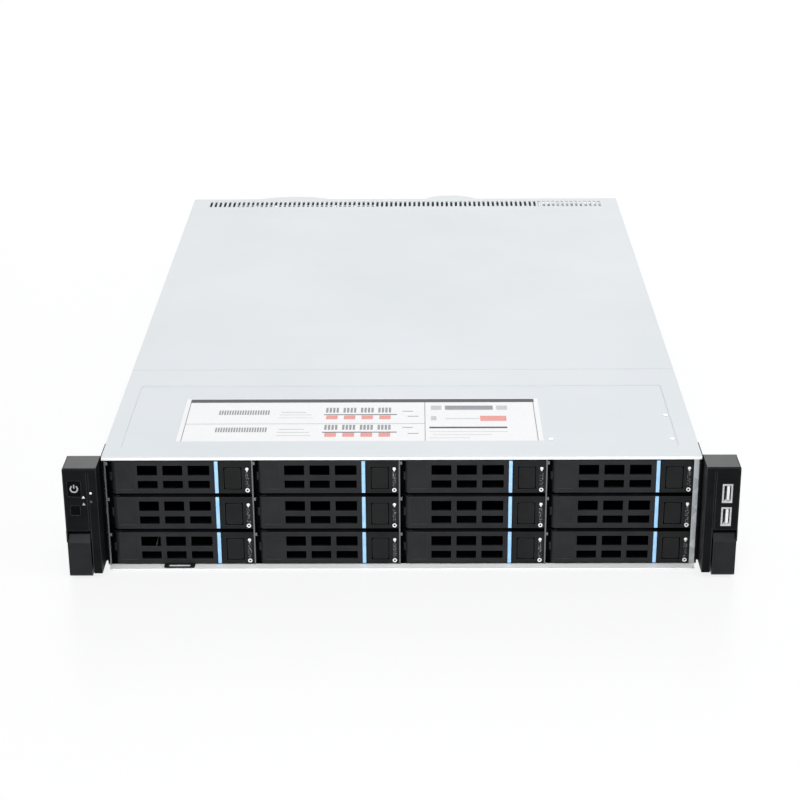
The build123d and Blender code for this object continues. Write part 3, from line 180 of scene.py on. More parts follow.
# Plated steel: bright, with fine drawn lines along X that stretch the highlights
def platedSteel(name="nickel_plated_steel", low="#b9bcbe", high="#d8dadb", roughness=0.24):
    material, tree, place = newMaterial(name)
    along = addNode(tree, "ShaderNodeMapping", {"Scale": (0.08, 1.0, 1.0)}, {"Vector": place})
    drawn = addNode(tree, "ShaderNodeTexNoise", {"Scale": 1 / (0.5 * mm), "Detail": 3.0},
                    {"Vector": along.outputs["Vector"]})
    tint = addNode(tree, "ShaderNodeValToRGB", {"stops": [(0.35, low), (0.65, high)]},
                   {"Fac": drawn.outputs["Fac"]})
    edge = addNode(tree, "ShaderNodeBevel", {"samples": 4, "Radius": 0.15 * mm})
    bump = addNode(tree, "ShaderNodeBump", {"Distance": 0.015 * mm, "Strength": 0.3},
                   {"Height": drawn.outputs["Fac"], "Normal": edge.outputs["Normal"]})
    shader = addNode(tree, "ShaderNodeBsdfPrincipled", {"Metallic": 1.0, "Roughness": roughness},
                     {"Base Color": tint.outputs["Color"], "Normal": bump.outputs["Normal"]})
    addNode(tree, "ShaderNodeOutputMaterial", links={"Surface": shader.outputs["BSDF"]})
    return material


# Circuit board: green solder mask over copper tracks that show as faint raised rows
def circuitBoard():
    material, tree, place = newMaterial("circuit_board")
    tracks = addNode(tree, "ShaderNodeTexBrick", {
        "Scale": 1.0, "Brick Width": 9 * mm, "Row Height": 2.4 * mm, "Mortar Size": 0.35 * mm,
        "Color1": linear("#0f4a26"), "Color2": linear("#0d4222"), "Mortar": linear("#1c6b38"),
    }, {"Vector": place})
    bump = addNode(tree, "ShaderNodeBump", {"Distance": 0.04 * mm, "Strength": 0.5},
                   {"Height": tracks.outputs["Fac"]})
    shader = addNode(tree, "ShaderNodeBsdfPrincipled", {"Roughness": 0.3, "IOR": 1.55, "Coat Weight": 0.3},
                     {"Base Color": tracks.outputs["Color"], "Normal": bump.outputs["Normal"]})
    addNode(tree, "ShaderNodeOutputMaterial", links={"Surface": shader.outputs["BSDF"]})
    return material


# Printed paper under a clear film: a faint fibre below a soft sheen
def labelPaper(name, low, high):
    material, tree, place = newMaterial(name)
    fibre = addNode(tree, "ShaderNodeTexNoise", {"Scale": 1 / (1.2 * mm), "Detail": 4.0}, {"Vector": place})
    tint = addNode(tree, "ShaderNodeValToRGB", {"stops": [(0.35, low), (0.65, high)]},
                   {"Fac": fibre.outputs["Fac"]})
    bump = addNode(tree, "ShaderNodeBump", {"Distance": 0.01 * mm, "Strength": 0.2},
                   {"Height": fibre.outputs["Fac"]})
    shader = addNode(tree, "ShaderNodeBsdfPrincipled",
                     {"Roughness": 0.4, "IOR": 1.5, "Specular IOR Level": 0.15},
                     {"Base Color": tint.outputs["Color"], "Normal": bump.outputs["Normal"]})
    addNode(tree, "ShaderNodeOutputMaterial", links={"Surface": shader.outputs["BSDF"]})
    return material


speckle = {"cell": 1.0, "dot": 0.3, "fade": 0.14, "field": "#19191b", "fleck": "#7d7f82"}


# Flecked panel between the lamps: small pale flecks scattered in black, like pierced metal behind plastic
def fleckedPanel():
    material, tree, place = newMaterial("flecked_panel")
    flecks = addNode(tree, "ShaderNodeTexVoronoi", {"Scale": 1 / (speckle["cell"] * mm), "Randomness": 0.9},
                     {"Vector": place})
    stops = [(speckle["dot"], speckle["fleck"]), (speckle["dot"] + speckle["fade"], speckle["field"])]
    tint = addNode(tree, "ShaderNodeValToRGB", {"stops": stops}, {"Fac": flecks.outputs["Distance"]})
    bump = addNode(tree, "ShaderNodeBump", {"Distance": 0.12 * mm, "Strength": 0.7, "invert": True},
                   {"Height": flecks.outputs["Distance"]})
    shader = addNode(tree, "ShaderNodeBsdfPrincipled",
                     {"Roughness": 0.45, "IOR": 1.5, "Specular IOR Level": 0.25},
                     {"Base Color": tint.outputs["Color"], "Normal": bump.outputs["Normal"]})
    addNode(tree, "ShaderNodeOutputMaterial", links={"Surface": shader.outputs["BSDF"]})
    return material


look = {
    "cover": powderCoatedSteel(),
    # a whiter copy of the cover's paint for the front lips: painted highlight
    "lip": powderCoatedSteel("cover_steel_painted_highlight", "#fbfcfc", "#ffffff", 0.35),
    "zinc": galvanisedSteel(),
    # the last colour of each moulded ABS here is its painted edge highlight
    "black": mouldedAbs("grained_black_abs", "#111213", "#171819"),
    "lever": mouldedAbs("satin_black_abs", "#1b1c1e", "#212224", 0.44, 0.2, 0.5, "#46474a"),
    "ear": mouldedAbs("ear_black_abs", "#0c0d0e", "#111213", 0.44, 0.06, 0.7, "#6a6b6d"),
    # a lighter copy of the ears' black plastic for their top faces: painted highlight
    "earTop": mouldedAbs("ear_top_abs_painted_highlight", "#18191a", "#1e1f20", 0.4, 0.27, 0.7, "#7a7b7d"),
    "flap": mouldedAbs("flap_black_abs", "#1b1c1e", "#212224", 0.44, 0.12, 0.6, "#55565a"),
    "cap": mouldedAbs("button_black_abs", "#040405", "#070708", 0.4, 0.04, 0.3, "#1a1b1c"),
    "inside": mouldedAbs("shaded_black_abs", "#070708", "#0a0a0b", 0.6, 0.03, 0.3, "#101011"),
    "blue": smoothPlastic("sky_blue_polycarbonate", "#9bd0ff", "#aedbff", 0.3, 0.2, 0.3),
    "lens": smoothPlastic("frosted_light_pipe", "#f0f2f3", "#ffffff", 0.2, 0.4),
    # near-black finish for the tray floor inside: painted shade
    "floorShade": smoothPlastic("tray_floor_painted_shade", "#060607", "#09090a", 0.5, 0.0, 0.05),
    "dimLens": smoothPlastic("smoked_light_pipe", "#3a3b3d", "#47484a", 0.3, 0.3),
    # near-black: painted shade in recesses, and the black of the backplane's parts off the bare board
    "tongue": smoothPlastic("white_socket_plastic", "#dcdedd", "#eceeed", 0.35),
    "dark": smoothPlastic("black_plastic_and_painted_recess_shade", "#0b0b0c", "#111112", 0.6, 0.0, 0.15),
    "gloss": smoothPlastic("gloss_black_polycarbonate", "#101011", "#161618", 0.18, 0.4, 0.4),
    "sign": smoothPlastic("printed_grey_sign", "#a4a6a8", "#b0b2b4", 0.5),
    "brightSign": smoothPlastic("printed_white_sign", "#e4e6e8", "#f2f4f5", 0.5),
    "latch": smoothPlastic("blue_latch_plastic", "#2b6fa8", "#3179b4", 0.35),
    "plated": platedSteel(),
    "gold": platedSteel("gold_plated_contact", "#c79a3c", "#dcb458", 0.22),
    # black coating of the cage and brackets, also used as painted shade on the tray's front ends
    "coatedAndShade": mouldedAbs("black_coated_steel_and_painted_shade", "#0b0c0d", "#101112", 0.55, 0.05, 0.3, "#2c2d2e"),
    "cutEdge": platedSteel("cut_steel_edge", "#6d6f71", "#828486", 0.35),
    "board": circuitBoard(),
    "paper": labelPaper("label_paper", "#eff0f2", "#f7f7f9"),
    "blackPrint": labelPaper("black_print", "#1c1c1e", "#262628"),
    "greyPrint": labelPaper("grey_print", "#85878b", "#95979b"),
    "palePrint": labelPaper("pale_grey_print", "#bcbec2", "#c8cace"),
    "redPrint": labelPaper("pale_red_print", "#e38c84", "#ec9c94"),
    "flecked": fleckedPanel(),
}
print("materials made:", len(look))


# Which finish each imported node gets
finishOfNode = {
    "chassis_tray": "cover", "rear_panel": "zinc", "slot_covers": "plated", "drive_cage": "coatedAndShade",
    "fan_wall": "zinc", "front_cover": "cover", "rear_cover": "cover", "left_ear": "ear", "right_ear": "ear",
    "left_ear_flap": "flap", "right_ear_flap": "flap", "rack_brackets": "coatedAndShade", "usb_ports": "plated",
    "power_button": "cap", "reset_button": "cap", "info_tag": "gloss", "backplane": "board",
}
# and those of a kind, by the start of their names: the latches stand before the power supplies
finishOfKind = [("carrier", "black"), ("latch_lever", "lever"), ("release_button", "black"),
                ("fan_rotor", "gloss"), ("power_supply_latch", "latch"), ("power_supply", "zinc")]
bays = [f"{row}_{column}" for row in ("bottom", "middle", "top") for column in "1234"]


def dress(name, finish):
    slots = nodes[name].data.materials
    slots.clear()
    slots.append(look[finish])


# Faces of a node whose middle passes the test, in millimetres, get another finish
def dressFaces(name, finish, test):
    mesh = nodes[name].data
    mesh.materials.append(look[finish])
    index = len(mesh.materials) - 1
    for face in mesh.polygons:
        if test(face.center / mm):
            face.material_index = index


for name in nodes:
    finish = finishOfNode.get(name)
    if finish is None:
        finish = next(f for kind, f in finishOfKind if name.startswith(kind))
    dress(name, finish)

# Where the faces are told apart, in millimetres
cuts = {
    "front": -4.9,  # just behind the front plane
    "cageEdge": -4.5,  # behind the cage's front edges
    "wallEnd": -3.7,  # just behind the tray's front ends
    "sheet": 1.3,  # above the tray's floor
    "floor": (1.2, 0.02),  # height of its top face, and how near a face has to be
    "flange": 205.0,  # left edge of the cage's wide flange on the right
    "earTop": 87.3,
    "earBoard": (-8.1, -6.3),  # the board behind the ear's buttons, with its right edge and its foot
    "earBoardRight": -225.5,
    "earBoardFoot": 40.3,
    "bezel": -2.5,  # behind the faces of the carriers' moulded fronts
    "rails": 12.5,  # behind those fronts
    "backplane": (164.9, 167.1),  # front and back of the bare board
    "fanFrames": 205.3,  # behind the fan wall's sheet
    "fanFrameEnds": (2.4, 82.8),
    "supplyBack": 645.1,  # only the handle stands out behind this
    "tongueX": 233.05,  # middle of the USB tongues, and half the width that takes them in
    "tongueReach": 1.1,
    "tongueFront": -23.8,
    "socketBlock": -13.1,
    "socketBoard": -7.9,
}


def nearTongue(c):
    return abs(c.x - cuts["tongueX"]) < cuts["tongueReach"] and cuts["tongueFront"] <= c.y < cuts["socketBlock"]


def onEarBoard(c):
    front, back = cuts["earBoard"]
    return front <= c.y <= back and c.x < cuts["earBoardRight"] and c.z > cuts["earBoardFoot"]


def offBackplane(c):
    front, back = cuts["backplane"]
    return c.y < front or c.y > back


def onFanFrames(c):
    foot, top = cuts["fanFrameEnds"]
    return cuts["fanFrames"] < c.y and foot < c.z < top


# Near-black finish on the tray floor's top faces, under the drives and the board: painted shade
def onFloor(c):
    height, near = cuts["floor"]
    return c.y > cuts["wallEnd"] and abs(c.z - height) < near


dressFaces("usb_ports", "tongue", nearTongue)
# the socket block deep in the USB ports gets the near-black finish: painted shade
dressFaces("usb_ports", "dark", lambda c: cuts["socketBlock"] <= c.y < cuts["socketBoard"])
dressFaces("usb_ports", "board", lambda c: c.y >= cuts["socketBoard"])
dressFaces("left_ear", "board", onEarBoard)
dressFaces("backplane", "dark", offBackplane)
dressFaces("fan_wall", "gloss", onFanFrames)
dressFaces("drive_cage", "cutEdge", lambda c: c.y < cuts["cageEdge"] and c.x < cuts["flange"])
dressFaces("drive_cage", "zinc", lambda c: c.y < cuts["cageEdge"] and c.x > cuts["flange"])
# the front cover's front faces get the whiter copy of its paint: painted highlight
dressFaces("front_cover", "lip", lambda c: c.y < cuts["front"])
# the ears' top faces get the lighter copy of their plastic: painted highlight
for ear in ("left_ear", "right_ear"):
    dressFaces(ear, "earTop", lambda c: c.z > cuts["earTop"])
# the tray's front ends above the floor get the black finish: painted shade
dressFaces("chassis_tray", "coatedAndShade", lambda c: c.y < cuts["wallEnd"] and c.z > cuts["sheet"])
# the tray's front lip gets the whiter copy of the paint: painted highlight
dressFaces("chassis_tray", "lip", lambda c: c.y < cuts["wallEnd"] and c.z < cuts["sheet"])
# the tray floor's top faces get the near-black finish: painted shade
dressFaces("chassis_tray", "floorShade", onFloor)
for bay in bays:
    # the carriers' faces behind their fronts get a darker black: painted shade
    dressFaces(f"carrier_{bay}", "inside", lambda c: cuts["bezel"] < c.y <= cuts["rails"])
    dressFaces(f"carrier_{bay}", "plated", lambda c: c.y > cuts["rails"])
for number in "12":
    dressFaces(f"power_supply_{number}", "gloss", lambda c: c.y > cuts["supplyBack"])
print("nodes dressed")


# Makes a visible piece of a mesh: the body is what it rides on
def piece(name, bm, finish, body, smooth=False):
    bmesh.ops.recalc_face_normals(bm, faces=bm.faces)
    mesh = bpy.data.meshes.new(name)
    bm.to_mesh(mesh)
    bm.free()
    mesh.materials.append(look[finish])
    if smooth:
        for face in mesh.polygons:
            face.use_smooth = True
    obj = bpy.data.objects.new(name, mesh)
    bpy.context.scene.collection.objects.link(obj)
    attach(obj, body)
    return obj


def addBlock(bm, low, high, edge=0.0, steps=2):
    made = bmesh.ops.create_cube(bm, size=1.0)
    size = [b - a for a, b in zip(low, high)]
    middle = [(a + b) / 2 for a, b in zip(low, high)]
    bmesh.ops.scale(bm, vec=size, verts=made["verts"])
    bmesh.ops.translate(bm, vec=middle, verts=made["verts"])
    if edge > 0:
        edges = list({e for v in made["verts"] for e in v.link_edges})
        bmesh.ops.bevel(bm, geom=edges, offset=edge, segments=steps, affect="EDGES", profile=0.6)


# A turned form: profile points are (radius, height) in millimetres, from its foot along the direction
def addTurned(bm, profile, foot, direction, sides=24):
    turn = Vector((0, 0, 1)).rotation_difference(Vector(direction)).to_matrix()
    rings = []
    for radius, height in profile:
        count = sides if radius > 0 else 1
        ring = []
        for i in range(count):
            a = 2 * math.pi * i / sides
            ring.append(bm.verts.new(
                turn @ Vector((radius * math.cos(a), radius * math.sin(a), height)) * mm + Vector(foot)))
        rings.append(ring)
    for a, b in zip(rings, rings[1:]):
        for i in range(sides):
            j = (i + 1) % sides
            if len(b) == 1:
                bm.faces.new((a[i], a[j], b[0]))
            else:
                bm.faces.new((a[i], a[j], b[j], b[i]))
    for ring in (rings[0][::-1], rings[-1]):
        if len(ring) > 1:
            bm.faces.new(ring)


# A flat sign: a thin plate with the outline, in millimetres, between two depths
def addSign(bm, outline, centre, front, back):
    faces = []
    for y in (front, back):
        faces.append([bm.verts.new((centre[0] + u * mm, y, centre[1] + w * mm)) for u, w in outline])
    bm.faces.new(faces[0])
    bm.faces.new(faces[1][::-1])
    for k in range(len(outline)):
        n = (k + 1) % len(outline)
        bm.faces.new((faces[0][k], faces[1][k], faces[1][n], faces[0][n]))


carrierLook = {
    "stripLeft": 25.8, "stripWidth": 2.7, "stripProud": 0.15, "stripDepth": 0.6, "stripPlay": 0.05,
    "lampX": 49.4, "upperLamp": 6.5, "lowerLamp": -10.3, "lampRadius": 1.5,
    "upperForm": [(0.6, -1.2), (0.8, 0.0), (0.8, 0.05), (0.66, 0.3), (0.36, 0.42), (0, 0.45)],
    "lowerForm": [(0.75, -1.2), (1.07, 0.0), (1.07, 0.15), (0.94, 0.35), (0.75, 0.35), (0.5, 0.1), (0, 0.08)],
    # the dark centre of the lower lamp is painted shade in its dimple
    "dimple": 0.5,  # share of the lower lamp's radius that is dark
    "stem": (0.5, 1.9), "stemProud": 0.2, "fleckedWidth": 2.6, "fleckedGap": 2.4, "fleckedProud": 0.12,
    "sunk": 0.02,
}


# A carrier's grip strip, its two light pipes and the flecked panel between them
def dressCarrier(key):
    c = carrierLook
    low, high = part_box(f"carrier_{key}")
    lowLever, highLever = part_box(f"latch_lever_{key}")
    x = (low.x + high.x) / 2
    z = (low.z + high.z) / 2
    front = lowLever.y
    play = c["stripPlay"]
    bm = bmesh.new()
    addBlock(bm, (x + (c["stripLeft"] + play) * mm, front - c["stripProud"] * mm, lowLever.z + play * mm),
             (x + (c["stripLeft"] + c["stripWidth"] - play) * mm, front + (c["stripDepth"] - c["sunk"]) * mm,
              highLever.z - play * mm), 0.3 * mm)
    piece(f"grip_strip_{key}", bm, "blue", f"latch_lever_{key}")
    r = c["lampRadius"]
    lampX = x + c["lampX"] * mm
    upper = z + c["upperLamp"] * mm
    half, reach = c["stem"]
    bm = bmesh.new()
    addTurned(bm, [(r * share, height) for share, height in c["upperForm"]], (lampX, front, upper), (0, -1, 0))
    addBlock(bm, (lampX - half * mm, front - c["stemProud"] * mm, upper - reach * mm),
             (lampX + half * mm, front + c["sunk"] * mm, upper), 0.15 * mm)
    piece(f"upper_lamp_{key}", bm, "lens", f"carrier_{key}")
    bm = bmesh.new()
    addTurned(bm, [(r * share, height) for share, height in c["lowerForm"]],
              (lampX, front, z + c["lowerLamp"] * mm), (0, -1, 0))
    ring = piece(f"lower_lamp_{key}", bm, "lens", f"carrier_{key}")
    # the lower lamp's dimple gets the near-black finish: painted shade
    ring.data.materials.append(look["dark"])
    for face in ring.data.polygons:
        away = math.hypot(face.center.x - lampX, face.center.z - z - c["lowerLamp"] * mm)
        if away < c["dimple"] * r * mm and face.center.y < front:
            face.material_index = 1
    half = c["fleckedWidth"] / 2 * mm
    bm = bmesh.new()
    addBlock(bm, (lampX - half, front - c["fleckedProud"] * mm, z + (c["lowerLamp"] + c["fleckedGap"]) * mm),
             (lampX + half, front + c["sunk"] * mm, z + (c["upperLamp"] - c["fleckedGap"]) * mm),
             0.05 * mm, 1)
    piece(f"flecked_panel_{key}", bm, "flecked", f"carrier_{key}")


for bay in bays:
    dressCarrier(bay)
print("carriers dressed")


labelLook = {
    "left": -165.4, "right": 104.2, "front": 24.3, "back": 105.9, "thick": 0.12, "panelDrop": 0.4, "ink": 0.03,
    "rows": (0.66, 0.255),
    # repeated marks of each row, in shares of the label: finish, count, each which one is skipped,
    # left and right of the first, pitch, and foot and head from the row
    "marks": [
        ("greyPrint", 20, 5, 0.40, 0.4065, 0.0098, 0.0, 0.115),
        ("redPrint", 4, 0, 0.402, 0.434, 0.0495, -0.16, -0.07),
        ("greyPrint", 20, 0, 0.10, 0.1046, 0.0072, -0.05, 0.055),
    ],
}


# Data label on the front cover: frames, grey and red bars, and no lettering
def makeLabel():
    c = labelLook
    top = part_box("front_cover")[1].z - c["panelDrop"] * mm
    bm = bmesh.new()
    addBlock(bm, (c["left"] * mm, c["front"] * mm, top),
             (c["right"] * mm, c["back"] * mm, top + c["thick"] * mm), 0.04 * mm, 1)
    piece("data_label", bm, "paper", "chassis")
    z = top + c["thick"] * mm
    width = c["right"] - c["left"]
    depth = c["back"] - c["front"]
    # each bar: shares of the label's width from the left, and of its depth from the front
    prints = {
        "blackPrint": [(0.012, 0.988, 0.905, 0.985), (0.69, 0.905, 0.285, 0.32), (0.395, 0.60, 0.60, 0.618),
                       (0.395, 0.60, 0.19, 0.208)],
        "greyPrint": [(0.012, 0.0145, 0.0, 0.905), (0.984, 0.9865, 0.0, 0.905), (0.0145, 0.678, 0.391, 0.399),
                      (0.677, 0.6792, 0.0, 0.905), (0.735, 0.87, 0.72, 0.82), (0.615, 0.645, 0.68, 0.695),
                      (0.63, 0.66, 0.56, 0.575), (0.615, 0.645, 0.30, 0.315), (0.63, 0.66, 0.16, 0.175)],
        "palePrint": [(0.695, 0.725, 0.72, 0.82), (0.88, 0.91, 0.72, 0.82), (0.275, 0.345, 0.66, 0.675),
                      (0.27, 0.36, 0.60, 0.612), (0.27, 0.365, 0.53, 0.54), (0.275, 0.345, 0.26, 0.275),
                      (0.27, 0.36, 0.19, 0.202), (0.27, 0.365, 0.12, 0.13), (0.695, 0.71, 0.47, 0.57),
                      (0.735, 0.83, 0.50, 0.515), (0.69, 0.905, 0.20, 0.21), (0.70, 0.86, 0.13, 0.14),
                      (0.69, 0.80, 0.06, 0.07)],
        "redPrint": [(0.832, 0.905, 0.455, 0.575)],
    }
    # two rows of ticks over red cells, with a hatched block on the left
    for row in c["rows"]:
        for finish, count, skip, left, right, pitch, foot, head in c["marks"]:
            for i in range(count):
                if not skip or (i + 1) % skip:
                    prints[finish].append((left + pitch * i, right + pitch * i, row + foot, row + head))
    for finish, bars in prints.items():
        bm = bmesh.new()
        for u0, u1, v0, v1 in bars:
            addBlock(bm, ((c["left"] + u0 * width) * mm, (c["front"] + v0 * depth) * mm, z),
                     ((c["left"] + u1 * width) * mm, (c["front"] + v1 * depth) * mm, z + c["ink"] * mm))
        piece(f"label_{finish}", bm, finish, "chassis")


makeLabel()
print("label made")


earLook = {
    "powerX": -233.3, "powerZ": 71.7, "ring": (2.05, 3.05), "gap": 36, "stem": 0.45,
    "bar": (0.4, 3.3), "proud": 0.05, "sunk": 0.01, "lampX": -221.6, "signX": -227.0,
    "lampForm": [(0.9, -0.2), (0.9, 0.0), (0.7, 0.04), (0, 0.05)],
    "triangle": [(-1.2, -0.9), (1.2, -0.9), (0, 1.2)],
    # height of the lamp and of the sign, finish of the lamp and of the sign
    "upper": (68.3, 65.2, "lens", "brightSign"), "lower": (61.5, 59.8, "dimLens", "sign"),
}


# Left ear: the power sign on its button, two lamps and two small triangles beside them
def makeEarSigns():
    c = earLook
    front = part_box("power_button")[0].y
    inner, outer = c["ring"]
    angles = [math.radians(90 + c["gap"] + (360 - 2 * c["gap"]) * i / 28) for i in range(29)]
    arc = [(outer * math.cos(a), outer * math.sin(a)) for a in angles]
    arc += [(inner * math.cos(a), inner * math.sin(a)) for a in reversed(angles)]
    middle = (c["powerX"] * mm, c["powerZ"] * mm)
    bm = bmesh.new()
    proud, sunk = c["proud"] * mm, c["sunk"] * mm
    addSign(bm, arc, middle, front - proud, front + sunk)
    half = c["stem"]
    foot, top = c["bar"]
    addSign(bm, [(-half, foot), (half, foot), (half, top), (-half, top)], middle, front - proud, front + sunk)
    piece("power_sign", bm, "sign", "power_button")
    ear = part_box("left_ear")[0].y
    for name in ("upper", "lower"):
        lampZ, signZ, lampFinish, signFinish = c[name]
        bm = bmesh.new()
        addTurned(bm, c["lampForm"], (c["lampX"] * mm, ear, lampZ * mm), (0, -1, 0), 20)
        piece(f"{name}_ear_lamp", bm, lampFinish, "chassis", True)
        bm = bmesh.new()
        addSign(bm, c["triangle"], (c["signX"] * mm, signZ * mm), ear - proud, ear + sunk)
        piece(f"{name}_ear_sign", bm, signFinish, "chassis")


makeEarSigns()
print("ear signs made")


screwLook = {
    "coverScrews": [(199.0, 72.0), (198.5, 27.0), (109.6, 27.0)],
    "coverHead": [(2.0, -0.3), (2.0, 0.1), (1.7, 0.3), (1.0, 0.34), (0.8, 0.05), (0, 0.0)],
    "wallHead": [(2.6, -0.5), (2.6, 0.0), (2.2, 0.5), (1.3, 0.65), (1.1, 0.1), (0, 0.0)],
    "wallY": (24.0, 140.0, 214.0, 236.0), "wallZ": (14.0, 72.0),
}


# Heads of machine screws, domed with a round socket, in the pressed panel and the side walls
def makeScrews():
    c = screwLook
    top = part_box("front_cover")[1].z - labelLook["panelDrop"] * mm
    bm = bmesh.new()
    for x, y in c["coverScrews"]:
        addTurned(bm, c["coverHead"], (x * mm, y * mm, top), (0, 0, 1))
    piece("cover_screws", bm, "plated", "chassis")
    low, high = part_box("chassis_tray")
    bm = bmesh.new()
    for side, edge in ((-1, low.x), (1, high.x)):
        for y in c["wallY"]:
            for z in c["wallZ"]:
                addTurned(bm, c["wallHead"], (edge, y * mm, z * mm), (side, 0, 0))
    piece("wall_screws", bm, "plated", "chassis")


makeScrews()
print("screws made")


usbLook = {"tongueHalf": 0.92, "sockets": (67.1, 48.9), "pitch": 2.3, "width": 1.1, "front": -23.2,
           "back": -14.5, "proud": 0.12, "sunk": 0.02}


# Gold contacts, four on each tongue
def makeContacts():
    c = usbLook
    side = cuts["tongueX"] - c["tongueHalf"]
    bm = bmesh.new()
    for z in c["sockets"]:
        for i in range(4):
            middle = z + (i - 1.5) * c["pitch"]
            addBlock(bm, ((side - c["proud"]) * mm, c["front"] * mm, (middle - c["width"] / 2) * mm),
                     ((side + c["sunk"]) * mm, c["back"] * mm, (middle + c["width"] / 2) * mm), 0.04 * mm, 1)
    piece("usb_contacts", bm, "gold", "chassis")


makeContacts()


supplyLook = {
    "inletX": -19.0, "inletZ": 13.5, "floor": 641.0, "reach": 10.0, "sunk": 0.2,
    "pins": [(-6.5, -1.5), (6.5, -1.5), (0.0, 2.5)], "pinHalf": (1.0, 2.0), "pinEdge": 0.5,
    "lampX": -19.0, "lampZ": 30.5, "back": 657.0, "lampForm": [(1.5, -0.3), (1.5, 0.3), (1.0, 0.8), (0, 1.0)],
}


# Power supply: three upright inlet pins and a frosted lamp above them
def makeSupply(number):
    c = supplyLook
    name = f"power_supply_{number}"
    low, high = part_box(name)
    x = (low.x + high.x) / 2
    halfX, halfZ = c["pinHalf"]
    bm = bmesh.new()
    for u, w in c["pins"]:
        px, pz = x + (c["inletX"] + u) * mm, low.z + (c["inletZ"] + w) * mm
        addBlock(bm, (px - halfX * mm, (c["floor"] - c["sunk"]) * mm, pz - halfZ * mm),
                 (px + halfX * mm, (c["floor"] + c["reach"]) * mm, pz + halfZ * mm), c["pinEdge"] * mm)
    piece(f"inlet_pins_{number}", bm, "plated", name)
    bm = bmesh.new()
    addTurned(bm, c["lampForm"], (x + c["lampX"] * mm, c["back"] * mm, low.z + c["lampZ"] * mm), (0, 1, 0), 20)
    piece(f"supply_lamp_{number}", bm, "lens", name, True)


for number in "12":
    makeSupply(number)
print("contacts and inlets made")


fanLook = {"disc": [(15.5, -0.05), (15.5, 0.1), (15.15, 0.2), (4.0, 0.2), (3.5, 0.1), (0, 0.1)], "sides": 40}


# Fan hubs: a brushed disc set on the front of each
def makeHub(number):
    name = f"fan_rotor_{number}"
    low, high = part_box(name)
    bm = bmesh.new()
    addTurned(bm, fanLook["disc"], ((low.x + high.x) / 2, low.y, (low.z + high.z) / 2), (0, -1, 0),
              fanLook["sides"])
    piece(f"hub_disc_{number}", bm, "plated", name)


for number in "123":
    makeHub(number)
print("fan hubs made")


# 1 for rays from the camera, in reflections and through clear things, 0 for those that only light
def seenRay(tree):
    path = addNode(tree, "ShaderNodeLightPath")
    seen = addNode(tree, "ShaderNodeMath", {"operation": "ADD"},
                   {0: path.outputs["Is Camera Ray"], 1: path.outputs["Is Glossy Ray"]})
    passed = addNode(tree, "ShaderNodeMath", {"operation": "ADD", "use_clamp": True},
                     {0: seen.outputs["Value"], 1: path.outputs["Is Transmission Ray"]})
    return passed.outputs["Value"]


stageLook = {"size": 6.0, "floor": "#f6f7f8", "whiten": 0.8, "gap": 0.2, "grain": 40.0, "dimmed": 0.45}


# White sweep: seen by the camera and in reflections it is nearly white, and it keeps the shadow
def makeStage():
    bm = bmesh.new()
    bmesh.ops.create_grid(bm, x_segments=1, y_segments=1, size=stageLook["size"])
    mesh = bpy.data.meshes.new("floor")
    bm.to_mesh(mesh)
    bm.free()
    floor = bpy.data.objects.new("floor", mesh)
    bpy.context.scene.collection.objects.link(floor)
    floor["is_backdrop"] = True
    floor.location.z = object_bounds()[0][2] - stageLook["gap"] * mm
    material, tree, place = newMaterial("white_sweep")
    grainy = addNode(tree, "ShaderNodeTexNoise", {"Scale": 1 / (stageLook["grain"] * mm), "Detail": 3.0},
                     {"Vector": place})
    rough = addNode(tree, "ShaderNodeMapRange", {"To Min": 0.3, "To Max": 0.36},
                    {"Value": grainy.outputs["Fac"]})
    shader = addNode(tree, "ShaderNodeBsdfPrincipled", {"Base Color": linear(stageLook["floor"]), "IOR": 1.45},
                     {"Roughness": rough.outputs["Result"]})
    glow = addNode(tree, "ShaderNodeEmission", {"Color": (1, 1, 1, 1), "Strength": 1.0})
    share = addNode(tree, "ShaderNodeMath", {"operation": "MULTIPLY", 1: stageLook["whiten"]},
                    {0: seenRay(tree)})
    mix = addNode(tree, "ShaderNodeMixShader", links={0: share.outputs["Value"], 1: shader.outputs["BSDF"],
                                                      2: glow.outputs["Emission"]})
    addNode(tree, "ShaderNodeOutputMaterial", links={"Surface": mix.outputs["Shader"]})
    floor.data.materials.append(material)


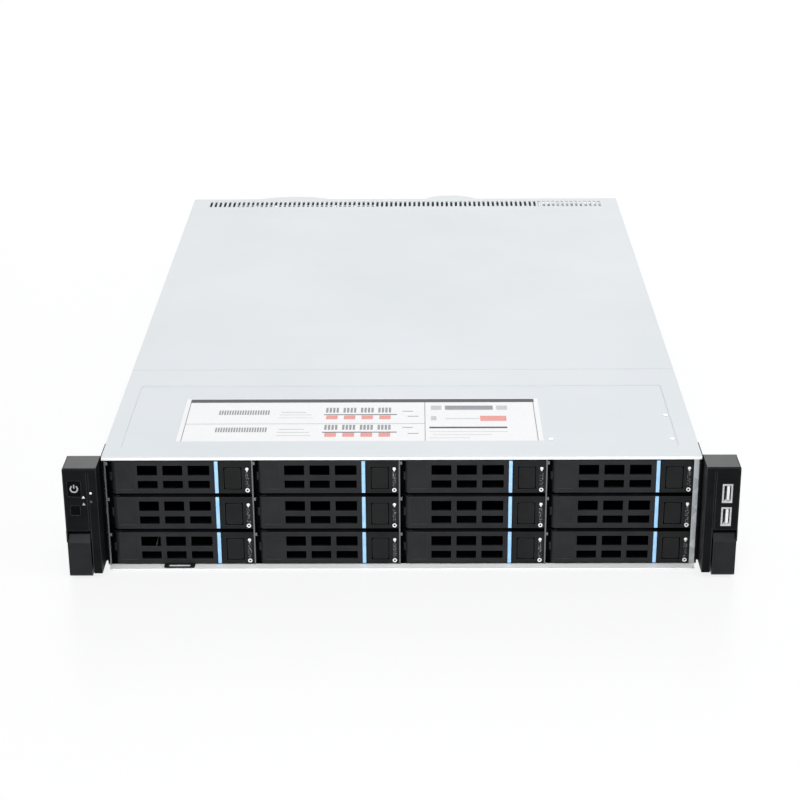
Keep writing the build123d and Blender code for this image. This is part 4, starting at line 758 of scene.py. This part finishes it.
# The room: white behind the object and in reflections, dimmer as a light
def makeWorld():
    world = bpy.data.worlds.new("studio")
    bpy.context.scene.world = world
    world.use_nodes = True
    tree = world.node_tree
    tree.nodes.clear()
    strength = addNode(tree, "ShaderNodeMapRange", {"To Min": stageLook["dimmed"], "To Max": 1.0},
                       {"Value": seenRay(tree)})
    background = addNode(tree, "ShaderNodeBackground", {"Color": (1, 1, 1, 1)},
                         {"Strength": strength.outputs["Result"]})
    addNode(tree, "ShaderNodeOutputWorld", links={"Surface": background.outputs["Background"]})


lampLook = [
    {"name": "top_softbox", "at": (0.0, -1.2, 1.9), "aim": (0.0, 0.1, 0.05), "size": 2.0, "power": 14},
    {"name": "front_softbox", "at": (-0.4, -2.2, 1.0), "aim": (0.0, 0.0, 0.05), "size": 1.4, "power": 24},
    {"name": "right_softbox", "at": (1.9, -0.6, 1.1), "aim": (0.0, 0.2, 0.05), "size": 1.2, "power": 11},
    {"name": "back_softbox", "at": (0.0, 3.0, 1.3), "aim": (0.0, 0.2, 0.05), "size": 2.2, "power": 24},
]


def makeLamps():
    for c in lampLook:
        data = bpy.data.lights.new(c["name"], "AREA")
        data.shape = "SQUARE"
        data.size = c["size"]
        data.energy = c["power"]
        lamp = bpy.data.objects.new(c["name"], data)
        bpy.context.scene.collection.objects.link(lamp)
        lamp.location = c["at"]
        lamp.rotation_euler = (Vector(c["aim"]) - Vector(c["at"])).to_track_quat("-Z", "Y").to_euler()


# Degrees, and millimetres for the lens and its sensor
cameraLook = {"at": (0.01113, -1.27967, 0.6564), "down": 22.375, "turn": 0.528, "roll": -0.34,
              "lens": 87.44, "sensor": 36.0}


def makeCamera():
    c = cameraLook
    data = bpy.data.cameras.new("camera")
    data.lens = c["lens"]
    data.sensor_width = c["sensor"]
    camera = bpy.data.objects.new("camera", data)
    bpy.context.scene.collection.objects.link(camera)
    camera.matrix_world = (
        Matrix.Translation(c["at"])
        @ Matrix.Rotation(math.radians(c["turn"]), 4, "Z")
        @ Matrix.Rotation(math.radians(90 - c["down"]), 4, "X")
        @ Matrix.Rotation(math.radians(c["roll"]), 4, "Z")
    )
    bpy.context.scene.camera = camera


makeStage()
makeWorld()
makeLamps()
makeCamera()
bpy.context.scene.view_settings.view_transform = "Standard"
print("stage, lamps and camera made")
